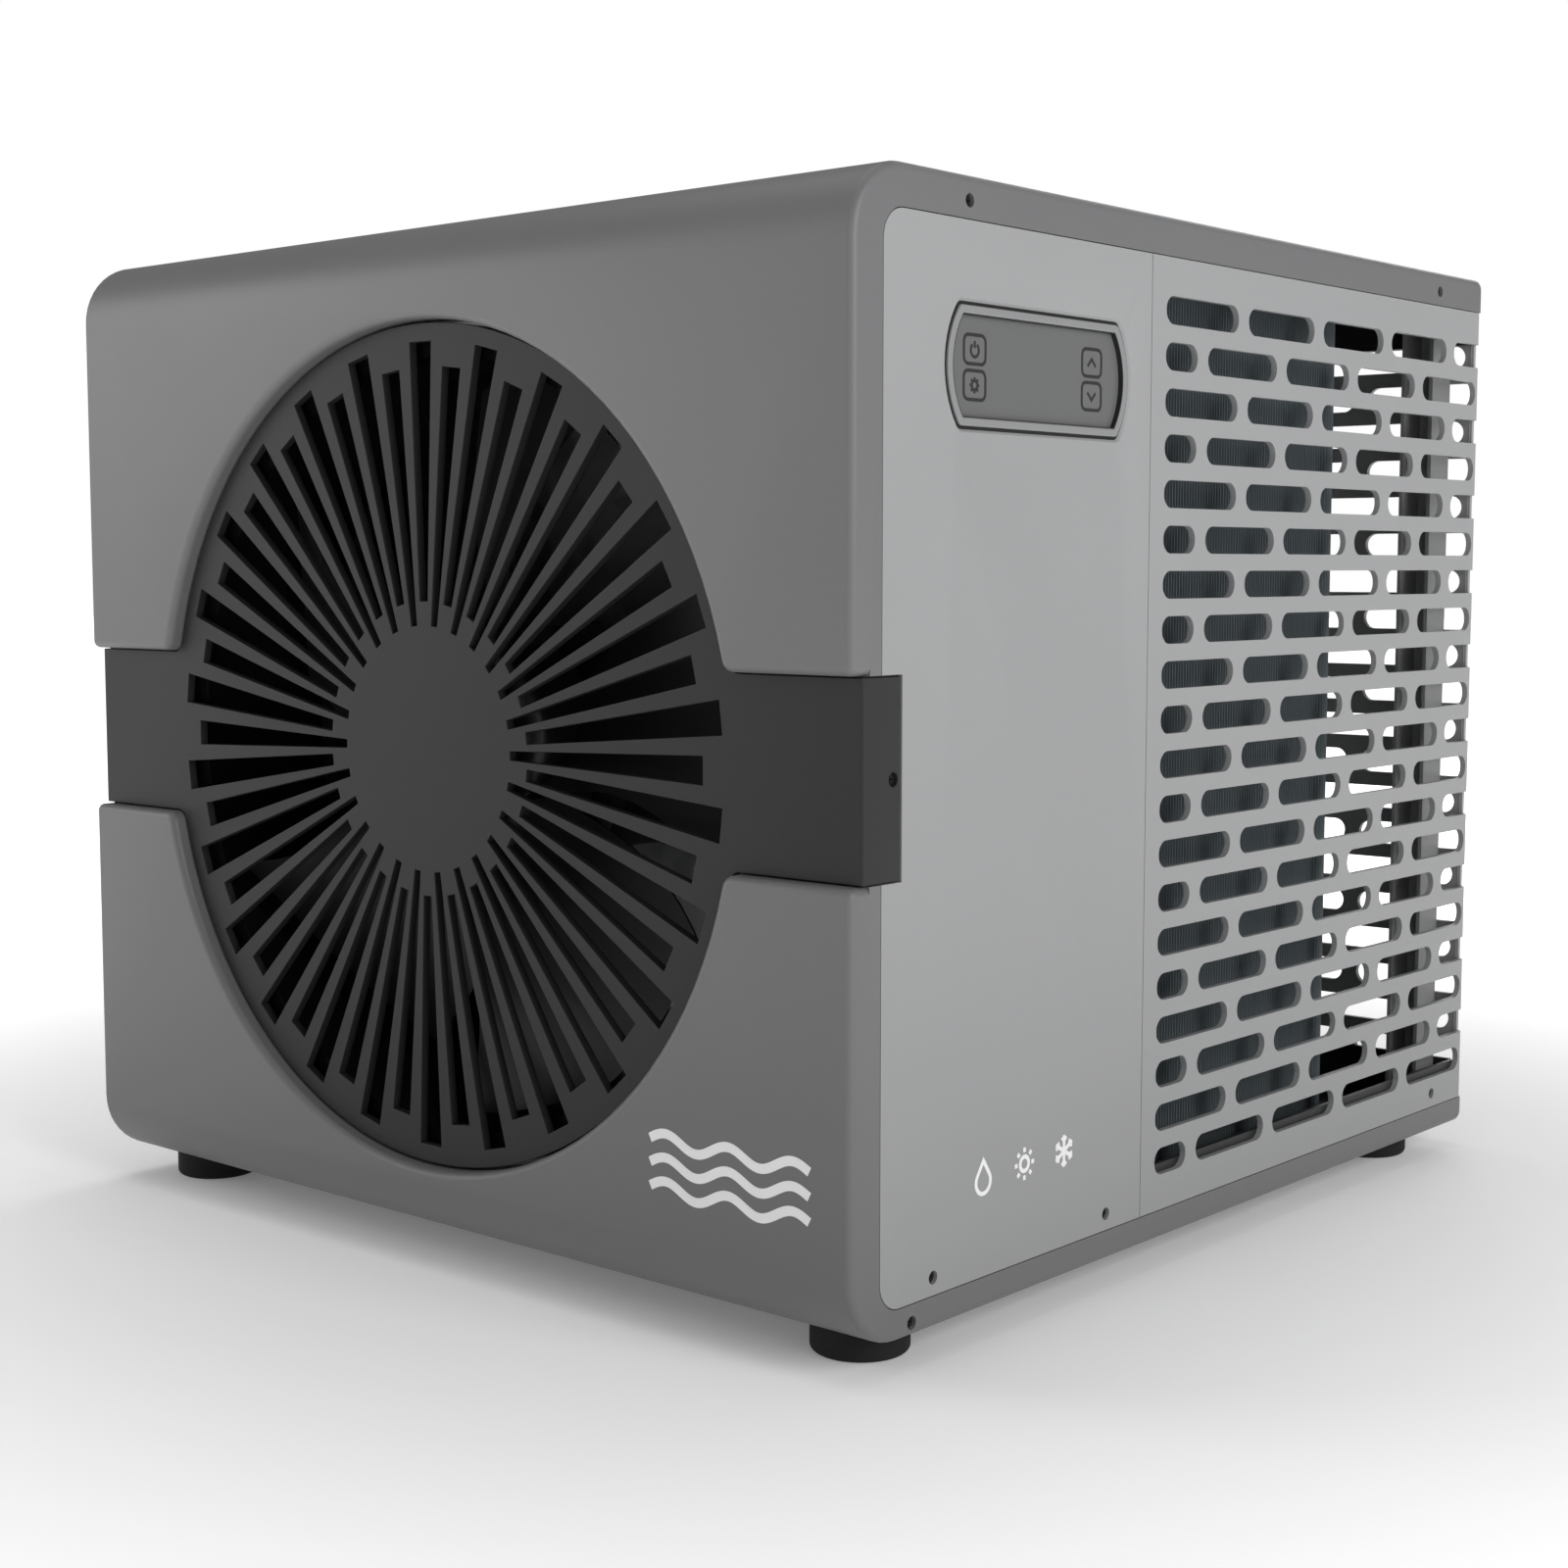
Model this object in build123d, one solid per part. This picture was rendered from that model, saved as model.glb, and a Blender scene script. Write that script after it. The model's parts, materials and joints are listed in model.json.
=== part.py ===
from build123d import *

import math
import os

# Mini pool heat pump, in millimetres. The drawing frame has X to the display side, Y backwards from
# the front face and Z up from the case's underside. Every piece is moved to the part's frame once,
# when it is written: origin under the middle of the whole unit, on the surface that the feet stand on.

# ---- case
CASE_W = 364.0
CASE_D = 385.0
CASE_H = 330.0
WALL = 3.0
SKIN = 2.2
FRONT_R = 22.0
BACK_R = 4.0
EDGE_R = 2.5
RIM_FRONT = 13.0
RIM_TOP = 12.4
RIM_BOTTOM = 9.5
RIM_CORNER_R = 9.0
PANEL_GAP = 0.3
SEAM_S = 148.0
BEND_R = 4.0

# ---- sheet-metal frame
SHEET = 1.5
LIP_H = 20.0
BAR_W = 14.0
FRONT_CLEAR = 2.0
POST_INSET = 11.0
POST_W = 13.0
POST_D = 15.0

# ---- fan outlet, grille and band
FAN_Z = 161.0
HOLE_R = 137.0
HOLE_GAP = 1.0
LIP_R = 2.5
BAND_H = 58.1
BAND_GAP = 0.5
BAND_CORNER_R = 4.0
RECESS = 5.0
GRILLE_T = 3.0
TAB_END = 21.8
SLOT_COUNT = 52
LONG_SLOT_START = 47.8
LONG_SLOT_RIM = 5.8
LONG_SLOT_ANGLE = 4.53
SHORT_SLOT_START = 40.0
SHORT_SLOT_RIM = 13.8
SHORT_SLOT_ANGLE = 4.0

# ---- air slots in the grille panel
ROWS = 20
ROW_PITCH = 14.467
ROWS_MID_Z = 163.4
SLOT_H = 8.9
SLOT_L = 44.7
SLOT_STEP = 51.15
SLOT_SEAM_GAP = 8.4
HALF_SLOT_L = 19.2
REAR_MARGIN = 8.0
CORNER_BRIDGE = 3.5

# ---- screws
SCREW_R = 1.9
SCREW_FIT = 0.1
SCREW_SINK = 1.3
RIM_SCREW_FRONT = 52.1
RIM_SCREW_BACK_INSET = 36.9
RIM_SCREW_DROP = 7.3
RIM_SCREW_BOTTOM = (27.9, 4.1)
PANEL_SCREW_START = 24.9
PANEL_SCREW_SEAM_GAP = 20.0
PANEL_SCREW_BACK_INSET = 27.6
PANEL_SCREW_Z = 15.1
TAB_SCREW_INSET = 3.4

# ---- feet
FOOT_H = 10.0
FOOT_R = 15.0
FOOT_INSET_X = 24.0
FOOT_INSET_S = 34.0
FOOT_SCREW_R = 2.5
FOOT_HEAD_R = 5.0
FOOT_HEAD_H = 3.0
FOOT_SINK = 1.0
FOOT_FIT = 0.1

# ---- display
DISPLAY_S = 88.6
DISPLAY_DROP = 53.3
DISPLAY_STRAIGHT = 80.2
DISPLAY_H = 34.0
DISPLAY_BOW = 6.0
DISPLAY_GAP = 0.4
DISPLAY_DISH = 1.4
BEZEL_W = 2.4
BEZEL_FLANGE = 3.0
BEZEL_DEPTH = 6.6
PLATE_SINK = 1.8
PLATE_T = 1.8
LEDGE_T = 1.4
LEDGE_W = 1.6
BOARD_T = 1.6
KEY_W = 9.6
KEY_H = 7.4
KEY_R = 1.6
KEY_GAP = 0.15
KEY_FLANGE = 0.6
KEY_FLANGE_T = 0.7
KEY_PLAY = 0.1
KEYS_LEFT = 31.3
KEYS_RIGHT = 28.5
KEYS_UP = 4.9
KEYS_DOWN = 5.2

# ---- fan and motor
SHROUD_STEP = 11.0
SHROUD_WALL = 3.0
SHROUD_LAP = 9.0
SHROUD_BACK = 62.0
BLADE_COUNT = 5
FAN_GAP = 5.0
HUB_R = 34.0
HUB_FRONT = 21.0
HUB_DEPTH = 30.0
FAN_MID = 36.0
BLADE_T = 2.4
BLADE_ROOT = (52.0, 40.0)
BLADE_TIP = (104.0, 24.0)
SHAFT_R = 4.0
SHAFT_FIT = 0.02
BEARING_FIT = 0.05
NUT_AF = 14.0
NUT_T = 6.4
MOTOR_R = 39.0
MOTOR_WALL = 3.0
MOTOR_FRONT = 62.0
MOTOR_L = 50.0
STATOR_IN_R = 26.0
AIR_GAP = 0.8
MOTOR_SCREW_PCD = 90.0
BRACKET_W = 108.0
BRACKET_FLANGE = 12.0

# ---- evaporator
COIL_INSET = 13.0
COIL_T = 25.0
COIL_SEAM_GAP = 2.0
COIL_DRAIN_GAP = 1.7
COIL_OUT_R = 32.0
COIL_END_X = 14.0
COIL_CEIL_GAP = 7.5
END_PLATE_T = 1.2
END_PLATE_LAP = 2.0
TUBE_R = 4.76
TUBE_ROWS = 12
TUBE_PITCH = 25.4

# ---- compressor compartment
WALL_S = 130.0
WALL_X = -8.0
WALL_T = 1.2
COMP_WALL_GAP = 27.8
COMP_S = 195.0
COMP_R = 52.0
COMP_H = 197.0
GROMMET_R = 10.0
GROMMET_H = 9.5
GROMMET_ARM = 58.0
MOUNT_PLATE_T = 2.5
STUD_R = 3.9
STUD_FIT = 0.1
ACC_STEP_X = 60.0
ACC_STEP_S = 48.0
ACC_R = 23.0
ACC_LOW = 60.0
ACC_H = 124.0
PIPE_R = 5.0
PIPE_BEND = 8.0
VALVE_DROP = 37.5
VALVE_R = 10.0
VALVE_L = 74.0
PORT_R = 7.0
PORT_L = 14.0
PORT_STEP = 22.0
GROMMET_WALL = 3.0
CAPILLARY_R = 2.0
DRIER_STEP_X = 58.0
DRIER_STEP_S = 18.0
DRIER_R = 9.0
DRIER_Z = (140.0, 200.0)

# ---- heat exchanger and water unions
HX_WALL_GAP = 11.8
HX_REAR_GAP = 20.8
HX_R = 50.0
HX_WALL = 4.0
HX_LOW = 20.0
HX_TOP = 236.0
HX_LID_T = 10.0
HX_COIL_R = 36.0
HX_TUBE_R = 5.0
HX_TURNS = 12
WATER_LOW_Z = 70.0
WATER_HIGH_Z = 200.0
STUB_R = 22.0
STUB_BORE = 16.0
STUB_HOLE_GAP = 1.0
THREAD_R = 24.0
STUB_OUT = 12.0
GASKET_T = 1.5
TAIL_R = 19.0
TAIL_BORE = 15.5
TAIL_FLANGE_T = 3.5
TAIL_L = 38.0
GROOVE_W = 2.0
GROOVE_DEPTH = 1.0
NUT_R = 31.0
NUT_FIT = 0.08
NUT_LIP_T = 4.0
NUT_LIP_GAP = 0.2
NUT_BACK_GAP = 3.0
NUT_RIBS = 8

# ---- electrics, cable gland, drain
BOX_SIDE_GAP = 6.8
BOX_DEEP = 40.0
BOX_FOOT_GAP = 8.0
BOX_LONG = 86.0
BOX_TOP = 250.0
BOX_WALL = 1.2
CAP_R = 15.0
GLAND_X = -45.0
GLAND_Z = 44.0
GLAND_R = 9.0
GLAND_BORE = 4.5
GLAND_FLANGE_R = 12.0
GLAND_OUT = 14.0
DRAIN_X = 90.0
DRAIN_REAR_GAP = 52.8
DRAIN_R = 9.0
DRAIN_FLANGE = 4.0
DRAIN_BORE = 6.5
DRAIN_OUT = 8.0

# ---- sizes that follow from the ones above
HALF_W = CASE_W / 2
INNER_X = HALF_W - SKIN
BACK_IN = CASE_D - SKIN
FLOOR_Z = WALL + SHEET
CEIL_Z = CASE_H - WALL - SHEET
OPEN_LOW = RIM_BOTTOM
OPEN_HIGH = CASE_H - RIM_TOP
LIP_X = INNER_X - SHEET
LIP_S = BACK_IN - SHEET
BAND_BACK = RECESS + GRILLE_T
SHELL_BACK = BAND_BACK + WALL - 0.2
BAND_LOW = FAN_Z - BAND_H / 2
BAND_HIGH = FAN_Z + BAND_H / 2
DISC_R = HOLE_R - HOLE_GAP
LONG_SLOT = (LONG_SLOT_START, DISC_R - LONG_SLOT_RIM, LONG_SLOT_ANGLE)
SHORT_SLOT = (SHORT_SLOT_START, DISC_R - SHORT_SLOT_RIM, SHORT_SLOT_ANGLE)
SHROUD_R = HOLE_R - SHROUD_STEP
FAN_TIP_R = SHROUD_R - FAN_GAP
SLOT_START = SEAM_S + SLOT_SEAM_GAP
TAB_SCREW_S = TAB_END - TAB_SCREW_INSET
DISPLAY_Z = CASE_H - DISPLAY_DROP
THREAD_END = CASE_D + STUB_OUT
TAIL_START = THREAD_END + GASKET_T
TAIL_END = TAIL_START + TAIL_FLANGE_T + TAIL_L
UNIT_D = TAIL_END
ROTOR_R = STATOR_IN_R - AIR_GAP
MOTOR_BACK = MOTOR_FRONT + MOTOR_L
COIL_X = HALF_W - COIL_INSET
COIL_FRONT = SEAM_S + COIL_SEAM_GAP
DRAIN_S = BACK_IN - DRAIN_REAR_GAP
COIL_BACK = DRAIN_S - DRAIN_R - DRAIN_FLANGE - COIL_DRAIN_GAP
COIL_TOP = CEIL_Z - COIL_CEIL_GAP
COIL_MID_X = COIL_X - COIL_T / 2
COIL_MID_S = COIL_BACK - COIL_T / 2
TUBE_LOW_Z = FAN_Z - TUBE_PITCH * (TUBE_ROWS - 1) / 2
TUBE_HIGH_Z = FAN_Z + TUBE_PITCH * (TUBE_ROWS - 1) / 2
MOUNT_PLATE_Z = FLOOR_Z + GROMMET_H
COMP_LOW = MOUNT_PLATE_Z + MOUNT_PLATE_T
COMP_TOP = COMP_LOW + COMP_H
HX_LID_TOP = HX_TOP + HX_LID_T
COMP_X = COMP_R + COMP_WALL_GAP - INNER_X
ACC_X = COMP_X + ACC_STEP_X
ACC_S = COMP_S + ACC_STEP_S
VALVE_Z = CEIL_Z - VALVE_DROP
HX_X = HX_R + HX_WALL_GAP - INNER_X
HX_S = BACK_IN - HX_R - HX_REAR_GAP
DRIER_X = HX_X + DRIER_STEP_X
DRIER_S = HX_S + DRIER_STEP_S
BOX_X = (INNER_X - BOX_SIDE_GAP - BOX_DEEP, INNER_X - BOX_SIDE_GAP)
BOX_START = FOOT_INSET_S + BOX_FOOT_GAP
BOX_S = (BOX_START, BOX_START + BOX_LONG)
PLACE = Pos(0, -UNIT_D / 2, FOOT_H)


def block(x, y, z):
    """A box between two corners, each range as (low, high)."""
    size = [abs(b - a) for a, b in (x, y, z)]
    middle = [(a + b) / 2 for a, b in (x, y, z)]
    return Pos(*middle) * Box(*size)


def rod_y(x, z, r, start, end):
    """A round bar along Y."""
    return Pos(x, (start + end) / 2, z) * Rot(90, 0, 0) * Cylinder(r, abs(end - start))


def rod_x(y, z, r, start, end):
    """A round bar along X."""
    return Pos((start + end) / 2, y, z) * Rot(0, 90, 0) * Cylinder(r, abs(end - start))


def rod_z(x, y, r, start, end):
    """A round bar along Z."""
    return Pos(x, y, (start + end) / 2) * Cylinder(r, abs(end - start))


def across(sketch, start, end):
    """A (depth, height) sketch extruded along X."""
    return extrude(Plane.YZ.offset(start) * sketch, end - start)


def backwards(sketch, start, end):
    """An (x, height) sketch extruded along Y."""
    return extrude(Plane.XZ.offset(-start) * sketch, start - end)


def upwards(sketch, start, end):
    """An (x, depth) sketch extruded along Z."""
    return extrude(Plane.XY.offset(start) * sketch, end - start)


def rect(u, v):
    """A rectangle sketch between two corners."""
    return Pos((u[0] + u[1]) / 2, (v[0] + v[1]) / 2) * Rectangle(u[1] - u[0], v[1] - v[0])


def sides(shape):
    """A piece and its mirror image on the other side of the unit."""
    return shape + mirror(shape, Plane.YZ)


def pipe(points, radius, bend):
    """A tube path of straight runs joined by arcs, as a solid rod."""
    path = FilletPolyline(*points, radius=bend)
    return sweep(Plane(origin=path @ 0, z_dir=path % 0) * Circle(radius), path=path)


def write(name, shape):
    """Moves a finished piece to the part's frame and writes it."""
    export_step(PLACE * Compound(children=list(shape.solids())), f"parts/{name}.step")


# ---- case


def profile(inset, back_inset):
    """The case, or its hollow, seen from the side: rounded at the front, nearly square at the back."""
    outline = rect((inset, CASE_D - back_inset), (inset, CASE_H - inset))
    front = outline.vertices().sort_by(Axis.X)[:2]
    outline = fillet(front, FRONT_R - inset)
    back = outline.vertices().sort_by(Axis.X)[-2:]
    return outline if back_inset else fillet(back, BACK_R)


def fan_opening(grow):
    """The round outlet joined to the band's channel, as seen from the front."""
    reach = CASE_W
    band = rect((-reach, reach), (BAND_LOW - grow, BAND_HIGH + grow))
    disc = Pos(0, FAN_Z) * Circle(HOLE_R + grow)
    outline = band + disc
    inner = [v for v in outline.vertices() if abs(v.X) < HOLE_R + grow + 1]
    return fillet(inner, BAND_CORNER_R)


def screw_points(rear):
    """Places of the recessed screws on each side, as (depth, height)."""
    if rear:
        return [(CASE_D - PANEL_SCREW_BACK_INSET, PANEL_SCREW_Z)]
    front = RIM_FRONT + PANEL_SCREW_START
    return [(front, PANEL_SCREW_Z), (SEAM_S - PANEL_SCREW_SEAM_GAP, PANEL_SCREW_Z)]


def rim_points():
    """Places of the recessed screws in the shell's rims, as (depth, height)."""
    height = CASE_H - RIM_SCREW_DROP
    return [(RIM_SCREW_FRONT, height), (CASE_D - RIM_SCREW_BACK_INSET, height), RIM_SCREW_BOTTOM]


def screw_holes(points):
    """Round holes through both side skins and the frame's lips."""
    inner = LIP_X - 0.1
    holes = Part()
    for depth, height in points:
        holes += rod_x(depth, height, SCREW_R + SCREW_FIT, inner, HALF_W + 1)
    return sides(holes)


def front_shell():
    """The dark one-piece hood: top, front and underside, with rims round both sides and the back."""
    body = across(profile(0, 0), -HALF_W, HALF_W)
    body = fillet(body.edges().filter_by(Plane.YZ), EDGE_R)
    body -= backwards(fan_opening(0), -1, BAND_BACK)
    lips = [e for e in body.edges() if is_outlet_edge(e)]
    body = fillet(lips, LIP_R)
    hollow = across(profile(WALL, SKIN), -INNER_X, INNER_X)
    hollow -= backwards(outlet_frame(), 0, SHELL_BACK)
    landing = block((INNER_X - WALL, INNER_X), (0, TAB_END + 2), (BAND_LOW - WALL, BAND_HIGH + WALL))
    hollow -= sides(landing)
    body -= hollow
    body -= rod_y(0, FAN_Z, HOLE_R, -1, SHELL_BACK + 1)
    side = rect((RIM_FRONT, CASE_D + 9), (OPEN_LOW, OPEN_HIGH))
    side = fillet(side.vertices().sort_by(Axis.X)[:2], RIM_CORNER_R)
    body -= sides(across(side, INNER_X, HALF_W + 1))
    body -= block((-HALF_W - 1, HALF_W + 1), (BACK_IN, CASE_D + 1), (OPEN_LOW, OPEN_HIGH))
    body -= sides(block((INNER_X, HALF_W + 1), (-1, TAB_END + 1), (BAND_LOW, BAND_HIGH)))
    body -= screw_holes(rim_points() + [(TAB_SCREW_S, FAN_Z)])
    body -= foot_bores()
    return body - rod_z(DRAIN_X, DRAIN_S, DRAIN_R + 0.3, -1, WALL + 1)


def is_outlet_edge(edge):
    """True for the front edges of the outlet and of the band's channel."""
    if abs(edge.center().Y) > 0.01:
        return False
    if edge.geom_type == GeomType.CIRCLE:
        return abs(edge.position_at(0).Y) < 0.01
    level = edge.center().Z
    return min(abs(level - BAND_LOW), abs(level - BAND_HIGH)) < 0.01


def outlet_frame():
    """The material kept behind the outlet's edge and behind the band."""
    band = rect((-INNER_X, INNER_X), (BAND_LOW - WALL, BAND_HIGH + WALL))
    return band + Pos(0, FAN_Z) * Circle(HOLE_R + WALL)


def front_grille():
    """The round fan grille in one piece with the band that wraps on to both sides."""
    low = BAND_LOW + BAND_GAP
    high = BAND_HIGH - BAND_GAP
    face = rect((-HALF_W, HALF_W), (low, high))
    face += Pos(0, FAN_Z) * Circle(DISC_R)
    inner = [v for v in face.vertices() if abs(v.X) < HALF_W - 1]
    face = fillet(inner, BAND_CORNER_R + BAND_GAP)
    body = backwards(face, RECESS, BAND_BACK)
    body -= backwards(radial_slots(), RECESS - 1, BAND_BACK + 1)
    body += sides(block((INNER_X, HALF_W), (RECESS, TAB_END), (low, high)))
    outer = [e for e in body.edges().filter_by(Axis.Z) if abs(e.center().X) > HALF_W - 0.1]
    body = fillet(outer, 0.8)
    return body - screw_holes([(TAB_SCREW_S, FAN_Z)])


def radial_slots():
    """The grille's slots, long and short in turn, each with radial sides and square ends."""
    slots = Sketch()
    for i in range(SLOT_COUNT):
        inner, outer, angle = LONG_SLOT if i % 2 == 0 else SHORT_SLOT
        half = math.tan(math.radians(angle / 2))
        near, far = inner * half, outer * half
        corners = [(-near, inner), (near, inner), (far, outer), (-far, outer)]
        turn = Rot(0, 0, 360 * i / SLOT_COUNT)
        slots += Pos(0, FAN_Z) * turn * Polygon(*corners, align=None)
    return slots


def tab_notch():
    """The cut in a front panel that clears the band's tab."""
    height = (BAND_LOW, BAND_HIGH)
    return block((INNER_X - 1, HALF_W + 1), (0, TAB_END + BAND_GAP), height)


def plain_front_panel():
    """The light front part of the right side skin, before it is cut for the display."""
    outline = rect((RIM_FRONT + PANEL_GAP, SEAM_S - PANEL_GAP / 2), panel_height())
    outline = fillet(outline.vertices().sort_by(Axis.X)[:2], RIM_CORNER_R - PANEL_GAP)
    panel = across(outline, INNER_X, HALF_W) - tab_notch()
    return panel - screw_holes(screw_points(False))


def panel_height():
    """The height range that every side and rear skin fills."""
    return (OPEN_LOW + PANEL_GAP, OPEN_HIGH - PANEL_GAP)


def right_front_panel():
    """The display side's front skin, with a dished opening for the display."""
    panel = plain_front_panel()
    panel -= across(display_outline(DISPLAY_GAP), INNER_X - 1, HALF_W + 1)
    rim = [e for e in panel.edges() if is_display_edge(e)]
    return chamfer(rim, DISPLAY_DISH)


def is_display_edge(edge):
    """True for the outer edges of the display's opening."""
    middle = edge.center()
    near = abs(middle.Y - DISPLAY_S) < DISPLAY_STRAIGHT / 2 + DISPLAY_BOW + 2
    return near and abs(middle.X - HALF_W) < 0.01 and abs(middle.Z - DISPLAY_Z) < DISPLAY_H / 2 + 2


def left_front_panel():
    """The plain front skin of the other side."""
    return mirror(plain_front_panel(), Plane.YZ)


def wrap_panel():
    """A rear skin: a side and half of the back in one sheet, bent round the rear corner."""
    flat = rect((INNER_X, HALF_W), (SEAM_S + PANEL_GAP / 2, CASE_D))
    flat += rect((PANEL_GAP / 2, HALF_W), (BACK_IN, CASE_D))
    flat = fillet(corner_at(flat, HALF_W, CASE_D), BEND_R)
    flat = fillet(corner_at(flat, INNER_X, BACK_IN), BEND_R - SKIN)
    low, high = panel_height()
    return upwards(flat, low, high) - screw_holes(screw_points(True))


def corner_at(sketch, x, y):
    """The sketch's vertex at a given place."""
    return min(sketch.vertices(), key=lambda v: math.hypot(v.X - x, v.Y - y))


def row_height(row):
    """The height of a row of slots, counted down from the top."""
    return ROWS_MID_Z + ((ROWS - 1) / 2 - row) * ROW_PITCH


def slot_runs(row):
    """A row's slots as (start, end) along the unrolled sheet."""
    runs = []
    start = SLOT_START
    if row % 2 == 1:
        runs.append((start, start + HALF_SLOT_L))
        start += HALF_SLOT_L + SLOT_STEP - SLOT_L
    last = CASE_D + HALF_W - REAR_MARGIN
    while start < last - HALF_SLOT_L / 2:
        runs.append((start, min(start + SLOT_L, last)))
        start += SLOT_STEP
    return runs


def back_slot_cutter(far, near, height):
    """The cutter of a slot on the back, between the centres of its round ends."""
    half = SLOT_H / 2
    depths = (BACK_IN - 0.5, CASE_D + 1)
    cutter = block((far, near), depths, (height - half, height + half))
    cutter += rod_y(near, height, half, *depths)
    return cutter + rod_y(far, height, half, *depths)


def slot_cutter(start, end, height):
    """The cutter of one slot, on the side, on the back or round the corner between them."""
    half = SLOT_H / 2
    heights = (height - half, height + half)
    out_x = HALF_W + 1
    low, high = start + half, end - half
    if end <= CASE_D:
        cutter = block((INNER_X - 1, out_x), (low, high), heights)
        cutter += rod_x(low, height, half, INNER_X - 1, out_x)
        return cutter + rod_x(high, height, half, INNER_X - 1, out_x)
    far = HALF_W - (high - CASE_D)
    if start >= CASE_D:
        return back_slot_cutter(far, HALF_W - (low - CASE_D), height)
    cutter = block((INNER_X, out_x), (low, CASE_D + 1), heights)
    cutter += block((INNER_X - 1, INNER_X), (low, BACK_IN), heights)
    cutter += rod_x(low, height, half, INNER_X - 1, out_x)
    return cutter + back_slot_cutter(far, INNER_X - CORNER_BRIDGE - half, height)


def right_grille_panel():
    """The air inlet skin: staggered rows of round-ended slots, bridged behind the corner."""
    cutters = []
    for row in range(ROWS):
        for start, end in slot_runs(row):
            cutters.append(slot_cutter(start, end, row_height(row)))
    return wrap_panel() - cutters


def left_rear_panel():
    """The plain rear skin on the water side, with holes for both unions and the cable gland."""
    panel = mirror(wrap_panel(), Plane.YZ)
    for level in (WATER_LOW_Z, WATER_HIGH_Z):
        panel -= rod_y(HX_X, level, STUB_R + STUB_HOLE_GAP, BACK_IN - 1, CASE_D + 1)
    return panel - rod_y(GLAND_X, GLAND_Z, GLAND_R + 0.1, BACK_IN - 1, CASE_D + 1)


def foot_places():
    """The four feet, as (x, depth)."""
    x = HALF_W - FOOT_INSET_X
    return [(a, b) for a in (-x, x) for b in (FOOT_INSET_S, CASE_D - FOOT_INSET_S)]


def foot_bores():
    """Screw holes of the feet, through the shell and the tray."""
    bores = Part()
    for x, s in foot_places():
        bores += rod_z(x, s, FOOT_SCREW_R + FOOT_FIT, -1, FLOOR_Z + 1)
    return bores


def bend_relief(height):
    """The lips' cut-outs at both rear corners, which clear the bend of the skins."""
    cut = BEND_R - SKIN + 0.2
    return sides(block((INNER_X - cut, INNER_X + 1), (BACK_IN - cut, BACK_IN + 1), height))


def base_tray():
    """The galvanised drip tray that carries everything inside."""
    start = FRONT_R + FRONT_CLEAR
    tray = block((-INNER_X, INNER_X), (start, BACK_IN), (WALL, FLOOR_Z))
    lip = (FLOOR_Z, FLOOR_Z + LIP_H)
    tray += sides(block((LIP_X, INNER_X), (start, BACK_IN), lip))
    tray += block((-INNER_X, INNER_X), (LIP_S, BACK_IN), lip)
    tray -= bend_relief((FLOOR_Z, FLOOR_Z + LIP_H + 1))
    tray -= screw_holes(all_low_screws())
    tray -= foot_bores()
    return tray - rod_z(DRAIN_X, DRAIN_S, DRAIN_R + 0.1, WALL - 1, FLOOR_Z + 1)


def all_low_screws():
    """Every recessed screw that ends in the tray's lip."""
    return [RIM_SCREW_BOTTOM] + screw_points(False) + screw_points(True)


def top_frame():
    """The rails under the lid, with lips that the skins are screwed to."""
    start = FRONT_R + FRONT_CLEAR
    level = (CEIL_Z, CEIL_Z + SHEET)
    frame = block((-INNER_X, INNER_X), (start, BACK_IN), level)
    hole = (start + BAR_W, MOTOR_BACK - BAR_W / 2)
    frame -= block((-INNER_X + BAR_W, INNER_X - BAR_W), hole, (CEIL_Z - 1, CASE_H))
    hole = (MOTOR_BACK + BAR_W, BACK_IN - BAR_W)
    frame -= block((-INNER_X + BAR_W, INNER_X - BAR_W), hole, (CEIL_Z - 1, CASE_H))
    lip = (CEIL_Z - LIP_H, CEIL_Z)
    frame += sides(block((LIP_X, INNER_X), (start, BACK_IN), lip))
    frame += block((-INNER_X, INNER_X), (LIP_S, BACK_IN), lip)
    frame -= bend_relief((CEIL_Z - LIP_H - 1, CEIL_Z))
    return frame - screw_holes(rim_points())


def rear_posts():
    """Two channel posts that stand between the tray and the top rails at the back."""
    right = HALF_W - POST_INSET
    outer = block((right - POST_W, right), (LIP_S - POST_D, LIP_S), (FLOOR_Z, CEIL_Z))
    inner_x = (right - POST_W + SHEET, right - SHEET)
    outer -= block(inner_x, (LIP_S - POST_D - 1, LIP_S - SHEET), (FLOOR_Z - 1, CEIL_Z + 1))
    return sides(outer)


def rubber_feet():
    """Four round feet, each with a sunk hole for its screw."""
    feet = []
    for x, s in foot_places():
        foot = rod_z(x, s, FOOT_R, -FOOT_H, 0)
        foot = fillet(foot.edges().sort_by(Axis.Z)[0], 2)
        head = -FOOT_H + FOOT_SINK + FOOT_HEAD_H
        foot -= rod_z(x, s, FOOT_HEAD_R + 1, -FOOT_H - 1, head)
        feet.append(foot - rod_z(x, s, FOOT_SCREW_R + FOOT_FIT, -FOOT_H, 1))
    return Compound(children=feet)


def foot_screws():
    """The feet's screws, through the foot, the shell and the tray."""
    screws = []
    head = -FOOT_H + FOOT_SINK + FOOT_HEAD_H
    for x, s in foot_places():
        screw = rod_z(x, s, FOOT_HEAD_R, head - FOOT_HEAD_H, head)
        screws.append(screw + rod_z(x, s, FOOT_SCREW_R, head, FLOOR_Z + 4))
    return Compound(children=screws)


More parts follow.
